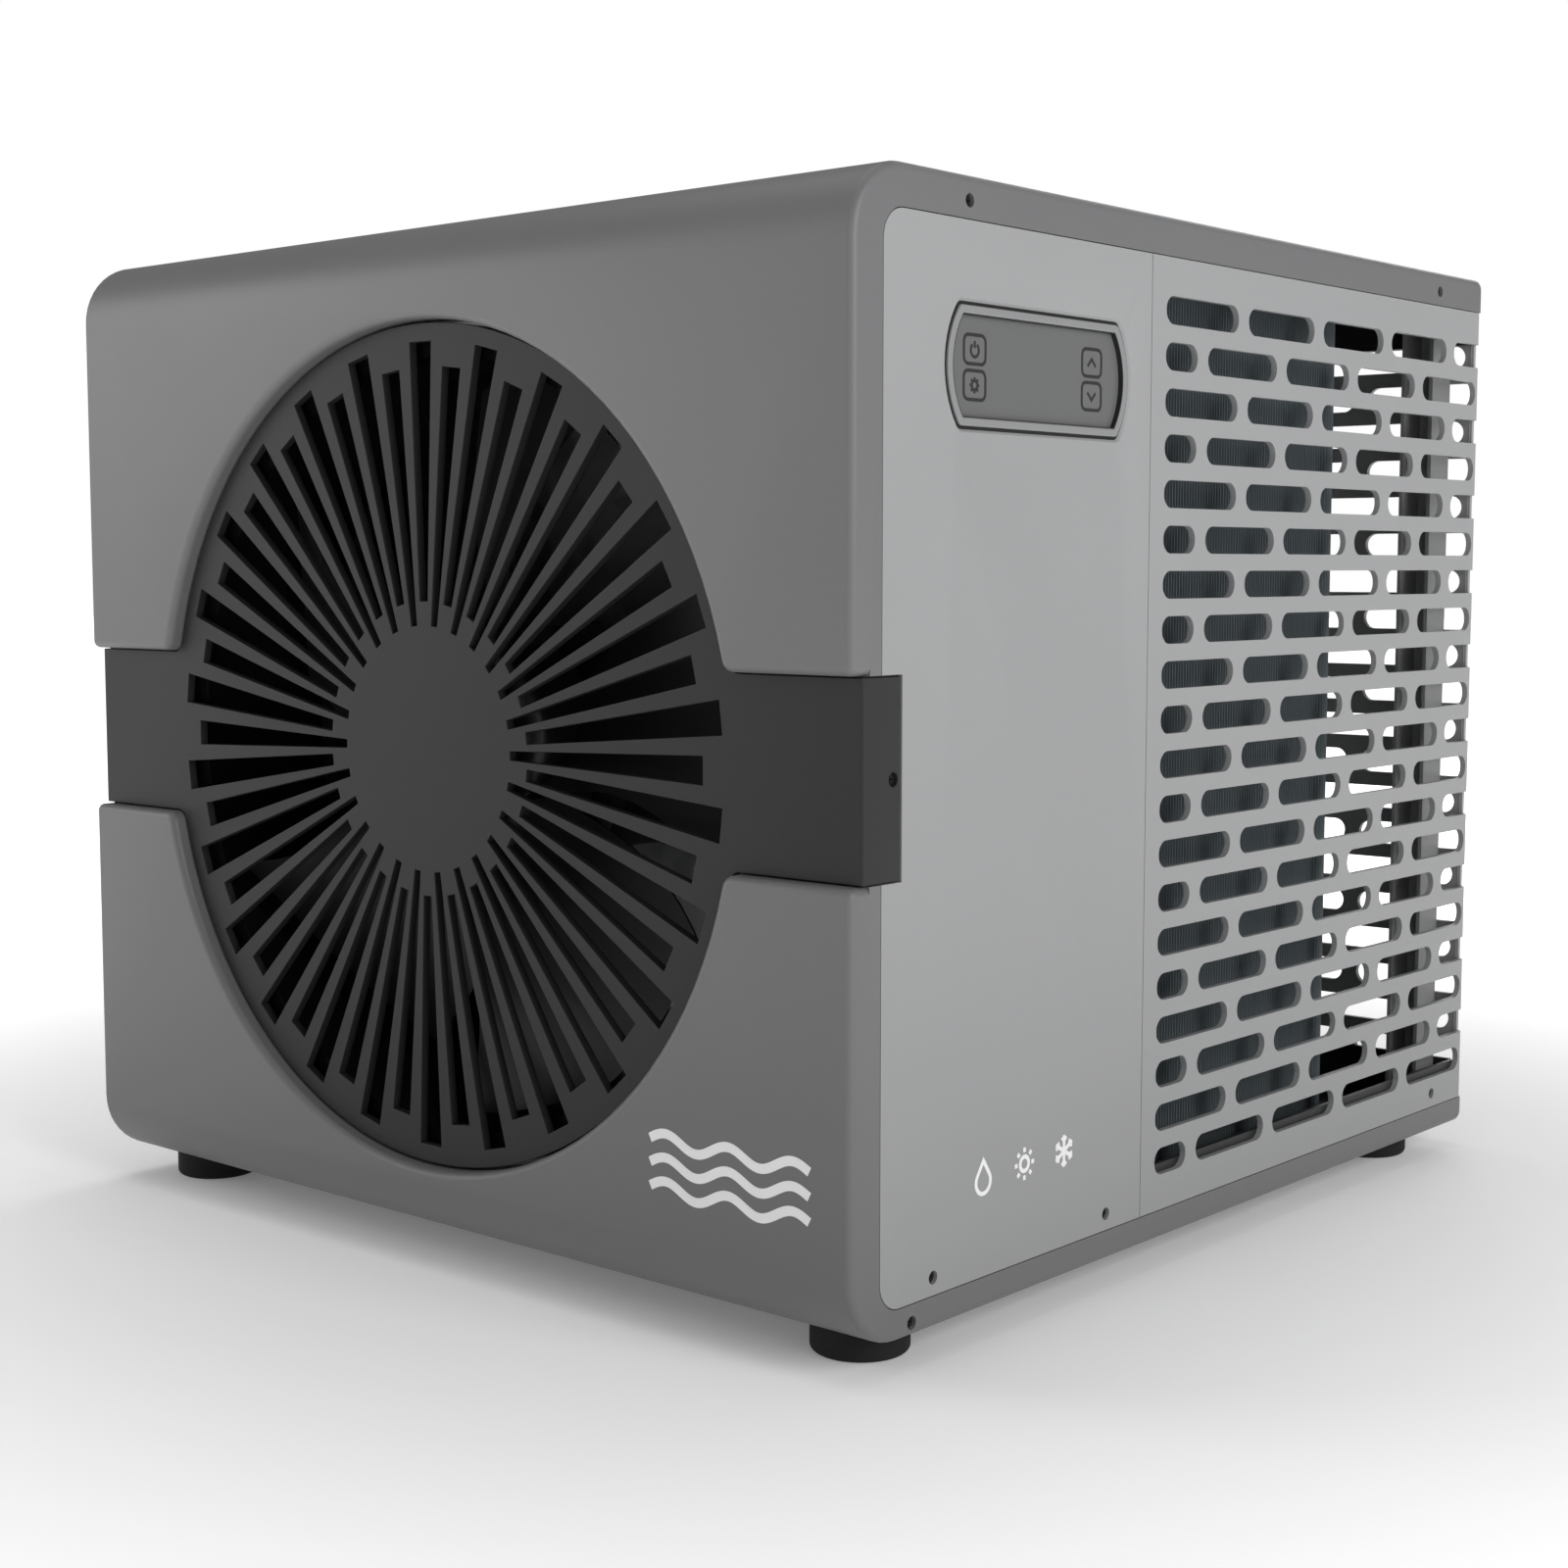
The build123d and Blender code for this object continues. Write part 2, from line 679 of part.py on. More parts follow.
def case_screws():
    """The short recessed screws round both sides."""
    points = rim_points() + [(TAB_SCREW_S, FAN_Z)] + screw_points(False) + screw_points(True)
    screws = []
    for depth, height in points:
        screw = rod_x(depth, height, SCREW_R, LIP_X + 0.1, HALF_W - SCREW_SINK)
        cut = HALF_W - SCREW_SINK - 0.6
        slot = block((cut, HALF_W), (depth - 3, depth + 3), (height - 0.3, height + 0.3))
        screws += [screw - slot, mirror(screw - slot, Plane.YZ)]
    return Compound(children=screws)


# ---- display


def display_outline(grow):
    """The display's outline: straight top and bottom, bowed ends, as (depth, height)."""
    half = DISPLAY_STRAIGHT / 2
    low = DISPLAY_Z - DISPLAY_H / 2
    high = DISPLAY_Z + DISPLAY_H / 2
    left, right = DISPLAY_S - half, DISPLAY_S + half
    top = Line((left, high), (right, high))
    near = ThreePointArc((right, high), (right + DISPLAY_BOW, DISPLAY_Z), (right, low))
    base = Line((right, low), (left, low))
    far = ThreePointArc((left, low), (left - DISPLAY_BOW, DISPLAY_Z), (left, high))
    face = make_face(Curve() + [top, near, base, far])
    face = fillet(face.vertices(), 2)
    return offset(face, grow) if grow else face


def key_places():
    """The four keys by name, as (depth, height)."""
    left = DISPLAY_S - KEYS_LEFT
    right = DISPLAY_S + KEYS_RIGHT
    high = DISPLAY_Z + KEYS_UP
    low = DISPLAY_Z - KEYS_DOWN
    return {
        "key_power": (left, high),
        "key_menu": (left, low),
        "key_up": (right, high),
        "key_down": (right, low),
    }


def display_bezel():
    """The light frame round the display, with a rear flange and a ledge for the plate."""
    back = HALF_W - BEZEL_DEPTH
    plate_back = HALF_W - PLATE_SINK - PLATE_T
    bezel = across(display_outline(0), back, HALF_W)
    bezel += across(display_outline(BEZEL_FLANGE), INNER_X - SHEET, INNER_X)
    bezel -= across(display_outline(-BEZEL_W), plate_back, HALF_W + 1)
    bezel -= across(display_outline(-BEZEL_W - LEDGE_W), back - 1, plate_back + 1)
    return bezel - across(display_outline(-BEZEL_W), back - 1, plate_back - LEDGE_T)


def display_plate():
    """The recessed dark front plate, with four openings for its keys."""
    front = HALF_W - PLATE_SINK
    plate = across(display_outline(-BEZEL_W - 0.1), front - PLATE_T, front)
    for s, z in key_places().values():
        opening = Pos(s, z) * RectangleRounded(KEY_W + 2 * KEY_GAP, KEY_H + 2 * KEY_GAP, KEY_R)
        plate -= across(opening, front - PLATE_T - 1, front + 1)
    return plate


def key(place):
    """One key: a cap in the plate's opening and a wider flange behind it that holds it in."""
    front = HALF_W - PLATE_SINK
    flange = front - PLATE_T - KEY_PLAY
    cap = across(Pos(*place) * RectangleRounded(KEY_W, KEY_H, KEY_R), flange - KEY_FLANGE_T, front)
    wide = Pos(*place) * RectangleRounded(KEY_W + 2 * KEY_FLANGE, KEY_H + 2 * KEY_FLANGE, KEY_R)
    return cap + across(wide, flange - KEY_FLANGE_T, flange)


def display_board():
    """The circuit board behind the keys."""
    front = HALF_W - PLATE_SINK - PLATE_T - LEDGE_T
    return across(display_outline(-BEZEL_W - 0.2), front - BOARD_T, front)


# ---- fan and motor


def fan_shroud():
    """The ring that the fan turns in, with a flange behind the outlet's edge."""
    ring = rod_y(0, FAN_Z, SHROUD_R + SHROUD_WALL, SHELL_BACK, SHROUD_BACK)
    ring += rod_y(0, FAN_Z, HOLE_R + SHROUD_LAP, SHELL_BACK, SHELL_BACK + 2)
    return ring - rod_y(0, FAN_Z, SHROUD_R, SHELL_BACK - 1, SHROUD_BACK + 1)


def fan_blade():
    """One twisted blade, pointing along +X from the fan's axis."""
    sections = []
    for radius, (chord, pitch) in ((HUB_R - 3, BLADE_ROOT), (FAN_TIP_R + 12, BLADE_TIP)):
        angle = math.radians(pitch)
        chord_way = (0, math.sin(angle), math.cos(angle))
        plane = Plane(origin=(radius, FAN_MID, 0), x_dir=chord_way, z_dir=(1, 0, 0))
        sections.append(plane * Rectangle(chord, BLADE_T))
    return loft(sections, ruled=True)


def fan_wheel():
    """The axial fan: a cup-shaped hub with twisted blades, trimmed to the tip circle."""
    blades = [Rot(0, 360 * i / BLADE_COUNT, 0) * fan_blade() for i in range(BLADE_COUNT)]
    wheel = Part() + blades
    wheel &= rod_y(0, 0, FAN_TIP_R, FAN_MID - 40, FAN_MID + 40)
    wheel -= rod_y(0, 0, HUB_R - 1, FAN_MID - 40, FAN_MID + 40)
    hub = rod_y(0, 0, HUB_R, HUB_FRONT, HUB_FRONT + HUB_DEPTH)
    hub -= rod_y(0, 0, HUB_R - 3, HUB_FRONT + 3, HUB_FRONT + HUB_DEPTH + 1)
    hub += rod_y(0, 0, SHAFT_R + 5, HUB_FRONT, HUB_FRONT + HUB_DEPTH)
    wheel += hub
    return Pos(0, 0, FAN_Z) * (wheel - rod_y(0, 0, SHAFT_R + SHAFT_FIT, 0, 99))


def fan_nut():
    """The nut that holds the fan on its shaft."""
    nut = Pos(0, FAN_Z) * RegularPolygon(NUT_AF / 2, 6, major_radius=False)
    body = backwards(nut, HUB_FRONT - NUT_T, HUB_FRONT)
    return body - rod_y(0, FAN_Z, SHAFT_R + SHAFT_FIT, 0, HUB_FRONT + 1)


def motor_rotor():
    """The rotor and its shaft, from the fan's nut to the rear bearing."""
    core = rod_y(0, FAN_Z, ROTOR_R, MOTOR_FRONT + 12, MOTOR_BACK - 12)
    return core + rod_y(0, FAN_Z, SHAFT_R, HUB_FRONT - NUT_T - 1, MOTOR_BACK - 2)


def motor_stator():
    """The winding ring inside the motor's can."""
    body = rod_y(0, FAN_Z, MOTOR_R - MOTOR_WALL, MOTOR_FRONT + 10, MOTOR_BACK - 8)
    return body - rod_y(0, FAN_Z, STATOR_IN_R, 0, CASE_D)


def motor_housing():
    """The motor's can, with the front bearing in its closed end."""
    body = rod_y(0, FAN_Z, MOTOR_R, MOTOR_FRONT, MOTOR_BACK)
    body -= rod_y(0, FAN_Z, MOTOR_R - MOTOR_WALL, MOTOR_FRONT + 2 * MOTOR_WALL, MOTOR_BACK + 1)
    body += motor_lugs()
    return body - rod_y(0, FAN_Z, SHAFT_R + BEARING_FIT, 0, CASE_D)


def motor_screw_places():
    """The motor's four screws, as (x, height)."""
    reach = MOTOR_SCREW_PCD / 2 * math.sqrt(0.5)
    return [(a, FAN_Z + b) for a in (-reach, reach) for b in (-reach, reach)]


def motor_lugs():
    """Four ears on the can, bored for its screws."""
    lugs = Part()
    for x, z in motor_screw_places():
        lugs += rod_y(x, z, 8, MOTOR_BACK - 4, MOTOR_BACK)
    lugs -= rod_y(0, FAN_Z, MOTOR_R - MOTOR_WALL, MOTOR_BACK - 5, MOTOR_BACK + 1)
    for x, z in motor_screw_places():
        lugs -= rod_y(x, z, SCREW_R + SCREW_FIT, MOTOR_BACK - 5, MOTOR_BACK + 1)
    return lugs


def motor_bracket():
    """The upright that carries the motor between the tray and the top rails."""
    half = BRACKET_W / 2
    body = block((-half, half), (MOTOR_BACK, MOTOR_BACK + SHEET), (FLOOR_Z, CEIL_Z))
    wing = block((half - SHEET, half), (MOTOR_BACK, MOTOR_BACK + BRACKET_FLANGE), (FLOOR_Z, CEIL_Z))
    body += sides(wing)
    body += rod_y(0, FAN_Z, SHAFT_R + 6, MOTOR_BACK - 7, MOTOR_BACK + SHEET)
    body -= rod_y(0, FAN_Z, SHAFT_R + BEARING_FIT, MOTOR_BACK - 8, MOTOR_BACK - 0.5)
    for x, z in motor_screw_places():
        body -= rod_y(x, z, SCREW_R + SCREW_FIT, MOTOR_BACK - 1, MOTOR_BACK + SHEET + 1)
    return body


def motor_screws():
    """Four screws from the bracket's back into the motor's ears."""
    screws = []
    for x, z in motor_screw_places():
        screw = rod_y(x, z, SCREW_R, MOTOR_BACK - 4, MOTOR_BACK + SHEET)
        head = rod_y(x, z, SCREW_R * 2, MOTOR_BACK + SHEET, MOTOR_BACK + SHEET + 2.5)
        screws.append(screw + head)
    return Compound(children=screws)


# ---- evaporator


def coil_band(grow):
    """The finned block seen from above: a side leg, a round corner and a rear leg."""
    outer = rect((COIL_END_X, COIL_X + grow), (COIL_FRONT, COIL_BACK + grow))
    outer = fillet(corner_at(outer, COIL_X + grow, COIL_BACK + grow), COIL_OUT_R + grow)
    in_x = COIL_X - COIL_T - grow
    in_s = COIL_BACK - COIL_T - grow
    inner = rect((COIL_END_X - 1, in_x), (COIL_FRONT - 1, in_s))
    inner = fillet(corner_at(inner, in_x, in_s), COIL_OUT_R - COIL_T - grow)
    return outer - inner


def coil_fins():
    """The block of fins; its tubes show only as bends at both ends."""
    return upwards(coil_band(0), FLOOR_Z, COIL_TOP)


def tube_levels():
    """Heights of the evaporator's tubes, from the lowest."""
    return [TUBE_LOW_Z + i * TUBE_PITCH for i in range(TUBE_ROWS)]


def coil_end_plates():
    """The steel plates at both ends of the fins."""
    lap = END_PLATE_LAP
    span_x = (COIL_X - COIL_T - lap, COIL_X + lap)
    span_s = (COIL_BACK - COIL_T - lap, COIL_BACK + lap)
    height = (FLOOR_Z, COIL_TOP)
    front = block(span_x, (COIL_FRONT - END_PLATE_T, COIL_FRONT), height)
    back = block((COIL_END_X - END_PLATE_T, COIL_END_X), span_s, height)
    return Compound(children=[front, back])


def coil_bends():
    """The copper return bends outside both end plates, and the two open tube ends."""
    arch = Pos(0, 0, 0) * Torus(TUBE_PITCH / 2, TUBE_R)
    arch &= Pos(TUBE_PITCH, 0, 0) * Box(2 * TUBE_PITCH, 4 * TUBE_PITCH, TUBE_PITCH)
    bends = []
    levels = tube_levels()
    front_s = COIL_FRONT - END_PLATE_T
    back_x = COIL_END_X - END_PLATE_T
    for i in range(TUBE_ROWS - 1):
        middle = (levels[i] + levels[i + 1]) / 2
        if i % 2 == 0:
            turn = Plane(origin=(COIL_MID_X, front_s, middle), x_dir=(0, -1, 0), z_dir=(1, 0, 0))
        else:
            turn = Plane(origin=(back_x, COIL_MID_S, middle), x_dir=(-1, 0, 0), z_dir=(0, 1, 0))
        bends.append(turn.location * arch)
    return Compound(children=bends)


# ---- compressor compartment


def partition():
    """The wall between the fan's chamber and the compressor, with holes for two pipes."""
    height = (FLOOR_Z, CEIL_Z)
    wall = block((-LIP_X, WALL_X + WALL_T), (WALL_S, WALL_S + WALL_T), height)
    wall += block((WALL_X, WALL_X + WALL_T), (WALL_S, LIP_S), height)
    for level in (TUBE_LOW_Z, TUBE_HIGH_Z):
        wall -= rod_x(COIL_MID_S, level, PIPE_R + GROMMET_WALL, WALL_X - 1, WALL_X + WALL_T + 1)
    return wall


def partition_grommets():
    """Rubber rings where the two pipes pass the partition."""
    rings = []
    for level, inner in ((TUBE_LOW_Z, CAPILLARY_R), (TUBE_HIGH_Z, PIPE_R)):
        ring = rod_x(COIL_MID_S, level, PIPE_R + GROMMET_WALL - 0.05, WALL_X, WALL_X + WALL_T)
        for start in (WALL_X - 2, WALL_X + WALL_T):
            ring += rod_x(COIL_MID_S, level, PIPE_R + GROMMET_WALL + 2, start, start + 2)
        rings.append(ring - rod_x(COIL_MID_S, level, inner + 0.05, WALL_X - 3, WALL_X + WALL_T + 3))
    return Compound(children=rings)


def compressor_foot_places():
    """The compressor's three rubber mounts, as (x, depth)."""
    places = []
    for angle in (100, 220, 340):
        turn = math.radians(angle)
        places.append((COMP_X + GROMMET_ARM * math.cos(turn), COMP_S + GROMMET_ARM * math.sin(turn)))
    return places


def compressor():
    """The rotary compressor's welded shell."""
    body = rod_z(COMP_X, COMP_S, COMP_R, COMP_LOW, COMP_TOP)
    body = fillet(body.edges().sort_by(Axis.Z)[-1], 20)
    return fillet(body.edges().sort_by(Axis.Z)[0], 12)


def compressor_mounting_plate():
    """The three-armed plate under the compressor."""
    level = (MOUNT_PLATE_Z, COMP_LOW)
    plate = rod_z(COMP_X, COMP_S, COMP_R - 10, *level)
    for x, s in compressor_foot_places():
        middle = ((x + COMP_X) / 2, (s + COMP_S) / 2)
        turn = math.degrees(math.atan2(s - COMP_S, x - COMP_X))
        arm = Pos(*middle, sum(level) / 2) * Rot(0, 0, turn) * Box(GROMMET_ARM, 24, MOUNT_PLATE_T)
        plate += arm
        plate += rod_z(x, s, GROMMET_R + 2, *level)
    for x, s in compressor_foot_places():
        plate -= rod_z(x, s, STUD_R + STUD_FIT, level[0] - 1, level[1] + 1)
    return plate


def compressor_grommets():
    """Three rubber mounts under the compressor's plate."""
    mounts = []
    for x, s in compressor_foot_places():
        mount = rod_z(x, s, GROMMET_R, FLOOR_Z, MOUNT_PLATE_Z)
        mounts.append(mount - rod_z(x, s, STUD_R + STUD_FIT, FLOOR_Z - 1, MOUNT_PLATE_Z + 1))
    return Compound(children=mounts)


def compressor_studs():
    """Studs on the tray with their nuts on top of the compressor's plate."""
    studs = []
    for x, s in compressor_foot_places():
        stud = rod_z(x, s, STUD_R, FLOOR_Z, COMP_LOW + 8)
        nut = Pos(x, s) * RegularPolygon(6.5, 6, major_radius=False)
        studs.append(stud + upwards(nut, COMP_LOW, COMP_LOW + 5))
    return Compound(children=studs)


def terminal_cover():
    """The plastic cap over the compressor's terminals."""
    body = rod_z(COMP_X - 14, COMP_S, 14, COMP_TOP, COMP_TOP + 16)
    return fillet(body.edges().sort_by(Axis.Z)[-1], 3)


def accumulator():
    """The suction accumulator, with its foot pipe into the compressor."""
    top = ACC_LOW + ACC_H
    body = rod_z(ACC_X, ACC_S, ACC_R, ACC_LOW, top)
    body = fillet(body.edges().filter_by(GeomType.CIRCLE), 9)
    body += rod_z(ACC_X, ACC_S, PORT_R, top - 1, top + 6)
    bend_z = ACC_LOW - 16
    points = [(ACC_X, ACC_S, ACC_LOW + 2), (ACC_X, ACC_S, bend_z), (COMP_X, COMP_S, bend_z)]
    return body + (pipe(points, PIPE_R, PIPE_BEND) - compressor())


def reversing_valve():
    """The four-way valve: a body along Y, one port on top and three below."""
    body = rod_y(ACC_X, VALVE_Z, VALVE_R, COMP_S - VALVE_L / 2, COMP_S + VALVE_L / 2)
    body += rod_z(ACC_X, COMP_S, PORT_R, VALVE_Z, VALVE_Z + PORT_L)
    for step in (-PORT_STEP, 0, PORT_STEP):
        body += rod_z(ACC_X, COMP_S + step, PORT_R, VALVE_Z - PORT_L, VALVE_Z)
    return body + block((ACC_X, ACC_X + 12), (COMP_S - 6, COMP_S + 6), (VALVE_Z - 6, VALVE_Z + 6))


def valve_coil():
    """The solenoid that shifts the four-way valve."""
    body = block((ACC_X + 12, ACC_X + 26), (COMP_S - 13, COMP_S + 13), (VALVE_Z - 9, VALVE_Z + 9))
    return fillet(body.edges().filter_by(Axis.Y), 3)


def discharge_line():
    """Hot gas, from the compressor's top to the valve."""
    x = COMP_X + 18
    high = VALVE_Z + PORT_L + 10
    points = [(x, COMP_S, COMP_TOP), (x, COMP_S, high), (ACC_X, COMP_S, high)]
    points.append((ACC_X, COMP_S, VALVE_Z + PORT_L))
    return pipe(points, PIPE_R, PIPE_BEND)


def suction_line():
    """Cold gas, from the valve's middle port to the accumulator."""
    start = VALVE_Z - PORT_L
    turn = start - 34
    end = ACC_LOW + ACC_H + 6
    points = [(ACC_X, COMP_S, start), (ACC_X, COMP_S, turn), (ACC_X, ACC_S, turn), (ACC_X, ACC_S, end)]
    return pipe(points, PIPE_R, PIPE_BEND)


def coil_gas_line():
    """From the valve to the evaporator's top tube, through the partition."""
    s = COMP_S - PORT_STEP
    start = VALVE_Z - PORT_L
    low = start - 16
    x = WALL_X - 12
    points = [(ACC_X, s, start), (ACC_X, s, low), (x, s, low), (x, COIL_MID_S, low)]
    points += [(x, COIL_MID_S, TUBE_HIGH_Z), (COIL_END_X - END_PLATE_T, COIL_MID_S, TUBE_HIGH_Z)]
    return pipe(points, PIPE_R, PIPE_BEND)


def hx_gas_line():
    """From the valve to the heat exchanger's lid."""
    s = COMP_S + PORT_STEP
    start = VALVE_Z - PORT_L
    low = HX_LID_TOP + 14
    far = HX_S - 12
    points = [(ACC_X, s, start), (ACC_X, s, low), (ACC_X, far, low)]
    points += [(HX_X + 18, far, low), (HX_X + 18, far, HX_LID_TOP)]
    return pipe(points, PIPE_R, min(PIPE_BEND, (start - low) * 0.9))


def liquid_line():
    """From the heat exchanger's lid to the filter drier."""
    x = HX_X + 18
    high = HX_LID_TOP + 16
    points = [(x, DRIER_S, HX_LID_TOP), (x, DRIER_S, high), (DRIER_X, DRIER_S, high)]
    points.append((DRIER_X, DRIER_S, DRIER_Z[1] + 8))
    return pipe(points, 3.2, PIPE_BEND)


def filter_drier():
    """The copper filter drier, with a neck at each end."""
    body = rod_z(DRIER_X, DRIER_S, DRIER_R, *DRIER_Z)
    body = fillet(body.edges().filter_by(GeomType.CIRCLE), 4)
    return body + rod_z(DRIER_X, DRIER_S, 4, DRIER_Z[0] - 8, DRIER_Z[1] + 8)


def capillary():
    """The thin tube from the drier to the evaporator's lowest tube."""
    x = WALL_X - 12
    points = [(DRIER_X, DRIER_S, DRIER_Z[0] - 8), (DRIER_X, DRIER_S, TUBE_LOW_Z), (x, DRIER_S, TUBE_LOW_Z)]
    points += [(x, COIL_MID_S, TUBE_LOW_Z), (COIL_END_X - END_PLATE_T, COIL_MID_S, TUBE_LOW_Z)]
    return pipe(points, CAPILLARY_R, PIPE_BEND)


# ---- heat exchanger and unions


def hx_body():
    """The heat exchanger's plastic vessel on its foot ring, with two water stubs through the back."""
    body = rod_z(HX_X, HX_S, HX_R, HX_LOW, HX_TOP)
    for level in (WATER_LOW_Z, WATER_HIGH_Z):
        body += rod_y(HX_X, level, STUB_R, HX_S, CASE_D + 1)
        body += rod_y(HX_X, level, THREAD_R, CASE_D + 1, THREAD_END)
    body += rod_z(HX_X, HX_S, HX_R - 8, FLOOR_Z, HX_LOW)
    body -= rod_z(HX_X, HX_S, HX_R - 14, FLOOR_Z - 1, HX_LOW - HX_WALL)
    body -= rod_z(HX_X, HX_S, HX_R - HX_WALL, HX_LOW + HX_WALL, HX_TOP + 1)
    for level in (WATER_LOW_Z, WATER_HIGH_Z):
        body -= rod_y(HX_X, level, STUB_BORE, HX_S, THREAD_END + 1)
    return body


def hx_lid():
    """The vessel's flat lid."""
    body = rod_z(HX_X, HX_S, HX_R + 3, HX_TOP, HX_LID_TOP)
    return fillet(body.edges().sort_by(Axis.Z)[-1], 3)


def hx_coil():
    """The titanium coil: turns of tube, held by two combs that hang from the lid."""
    low = HX_LOW + HX_WALL + 12
    pitch = (HX_TOP - 14 - low) / (HX_TURNS - 1)
    half = HX_TUBE_R + 1
    coil = Part()
    for side in (-1, 1):
        middle = HX_X + side * HX_COIL_R
        coil += block((middle - half, middle + half), (HX_S - 2, HX_S + 2), (low - half, HX_TOP))
    return coil + [Pos(HX_X, HX_S, low + i * pitch) * Torus(HX_COIL_R, HX_TUBE_R) for i in range(HX_TURNS)]


def union_gaskets():
    """The flat seals between each stub and its hose tail."""
    rings = []
    for level in (WATER_LOW_Z, WATER_HIGH_Z):
        ring = rod_y(HX_X, level, THREAD_R - 0.5, THREAD_END, TAIL_START)
        rings.append(ring - rod_y(HX_X, level, STUB_BORE + 0.5, THREAD_END - 1, TAIL_START + 1))
    return Compound(children=rings)


def hose_tails():
    """The two smooth tails that the pool hoses push on to, each with a groove behind its nut."""
    tails = []
    groove = TAIL_START + TAIL_FLANGE_T + NUT_LIP_GAP + NUT_LIP_T + 1
    for level in (WATER_LOW_Z, WATER_HIGH_Z):
        tail = rod_y(HX_X, level, THREAD_R - 0.5, TAIL_START, TAIL_START + TAIL_FLANGE_T)
        tail += rod_y(HX_X, level, TAIL_R, TAIL_START, groove)
        tail += rod_y(HX_X, level, TAIL_R - GROOVE_DEPTH, groove, groove + GROOVE_W)
        tail += rod_y(HX_X, level, TAIL_R, groove + GROOVE_W, TAIL_END)
        tail = chamfer(tail.edges().sort_by(Axis.Y)[-1], 1)
        tails.append(tail - rod_y(HX_X, level, TAIL_BORE, TAIL_START - 1, TAIL_END + 1))
    return Compound(children=tails)


def union_nut(level):
    """A ribbed nut that turns on the stub and pulls the tail's flange against the seal."""
    start = CASE_D + NUT_BACK_GAP
    lip = TAIL_START + TAIL_FLANGE_T + NUT_LIP_GAP
    nut = rod_y(HX_X, level, NUT_R - 2, start, lip + NUT_LIP_T)
    for i in range(NUT_RIBS):
        turn = math.radians(360 * i / NUT_RIBS)
        x = HX_X + (NUT_R - 5) * math.cos(turn)
        z = level + (NUT_R - 5) * math.sin(turn)
        nut += rod_y(x, z, 5, start + 2, lip + NUT_LIP_T - 1)
    nut -= rod_y(HX_X, level, THREAD_R + NUT_FIT, start - 1, lip)
    return nut - rod_y(HX_X, level, TAIL_R + NUT_FIT, start - 1, lip + NUT_LIP_T + 1)


# ---- electrics, gland, drain


def control_box():
    """The open steel box of the electronics, behind the display."""
    box = block(BOX_X, BOX_S, (FLOOR_Z, BOX_TOP))
    inside_x = (BOX_X[0] + BOX_WALL, BOX_X[1] + 1)
    inside_s = (BOX_S[0] + BOX_WALL, BOX_S[1] - BOX_WALL)
    return box - block(inside_x, inside_s, (FLOOR_Z + BOX_WALL, BOX_TOP - BOX_WALL))


def control_cover():
    """The box's lid."""
    return block((BOX_X[1], BOX_X[1] + BOX_WALL), BOX_S, (FLOOR_Z, BOX_TOP))


def control_board():
    """The main board on its stand-offs, with the relay and the terminal block."""
    x = BOX_X[0] + BOX_WALL
    s = (BOX_S[0] + 10, BOX_S[1] - 10)
    board = block((x + 5, x + 6.6), s, (60, BOX_TOP - 12))
    for depth in (s[0] + 6, s[1] - 6):
        for level in (70, BOX_TOP - 22):
            board += rod_x(depth, level, 3, x, x + 5)
    board += block((x + 6.6, x + 24), (s[0] + 8, s[0] + 30), (180, 215))
    return board + block((x + 6.6, x + 20), (s[0] + 40, s[1] - 8), (66, 82))


def run_capacitor():
    """The compressor's run capacitor, standing in the box."""
    x = (BOX_X[0] + BOX_X[1] + BOX_WALL) / 2
    return rod_z(x, BOX_S[0] + BOX_WALL + CAP_R + 4, CAP_R, FLOOR_Z + BOX_WALL, FLOOR_Z + BOX_WALL + 50)


def cable_gland():
    """The gland of the mains cable, screwed into the rear skin."""
    gland = rod_y(GLAND_X, GLAND_Z, GLAND_R, BACK_IN - 6, CASE_D + GLAND_OUT)
    gland += rod_y(GLAND_X, GLAND_Z, GLAND_FLANGE_R, CASE_D, CASE_D + 4)
    gland += rod_y(GLAND_X, GLAND_Z, GLAND_FLANGE_R, BACK_IN - 4, BACK_IN)
    return gland - rod_y(GLAND_X, GLAND_Z, GLAND_BORE, BACK_IN - 7, CASE_D + GLAND_OUT + 1)


def drain_nozzle():
    """The condensate outlet under the tray, with a groove under the case."""
    neck = -GROOVE_W
    nozzle = rod_z(DRAIN_X, DRAIN_S, DRAIN_R, -DRAIN_OUT, neck)
    nozzle += rod_z(DRAIN_X, DRAIN_S, DRAIN_R - GROOVE_DEPTH, neck, 0)
    nozzle += rod_z(DRAIN_X, DRAIN_S, DRAIN_R, 0, FLOOR_Z)
    nozzle += rod_z(DRAIN_X, DRAIN_S, DRAIN_R + DRAIN_FLANGE, FLOOR_Z, FLOOR_Z + 1.5)
    return nozzle - rod_z(DRAIN_X, DRAIN_S, DRAIN_BORE, -DRAIN_OUT - 1, FLOOR_Z + 3)


os.makedirs("parts", exist_ok=True)

PIECES = [
    front_shell, front_grille, right_front_panel, right_grille_panel, left_front_panel, left_rear_panel,
    base_tray, top_frame, rear_posts, rubber_feet, foot_screws, case_screws,
    display_bezel, display_plate, display_board,
    fan_shroud, fan_wheel, fan_nut, motor_rotor, motor_stator, motor_housing, motor_bracket, motor_screws,
    coil_fins, coil_end_plates, coil_bends,
    partition, partition_grommets, compressor, compressor_mounting_plate, compressor_grommets,
    compressor_studs, terminal_cover, accumulator, reversing_valve, valve_coil,
    discharge_line, suction_line, coil_gas_line, hx_gas_line, liquid_line, filter_drier, capillary,
    hx_body, hx_lid, hx_coil, union_gaskets, hose_tails,
    control_box, control_cover, control_board, run_capacitor, cable_gland, drain_nozzle,
]

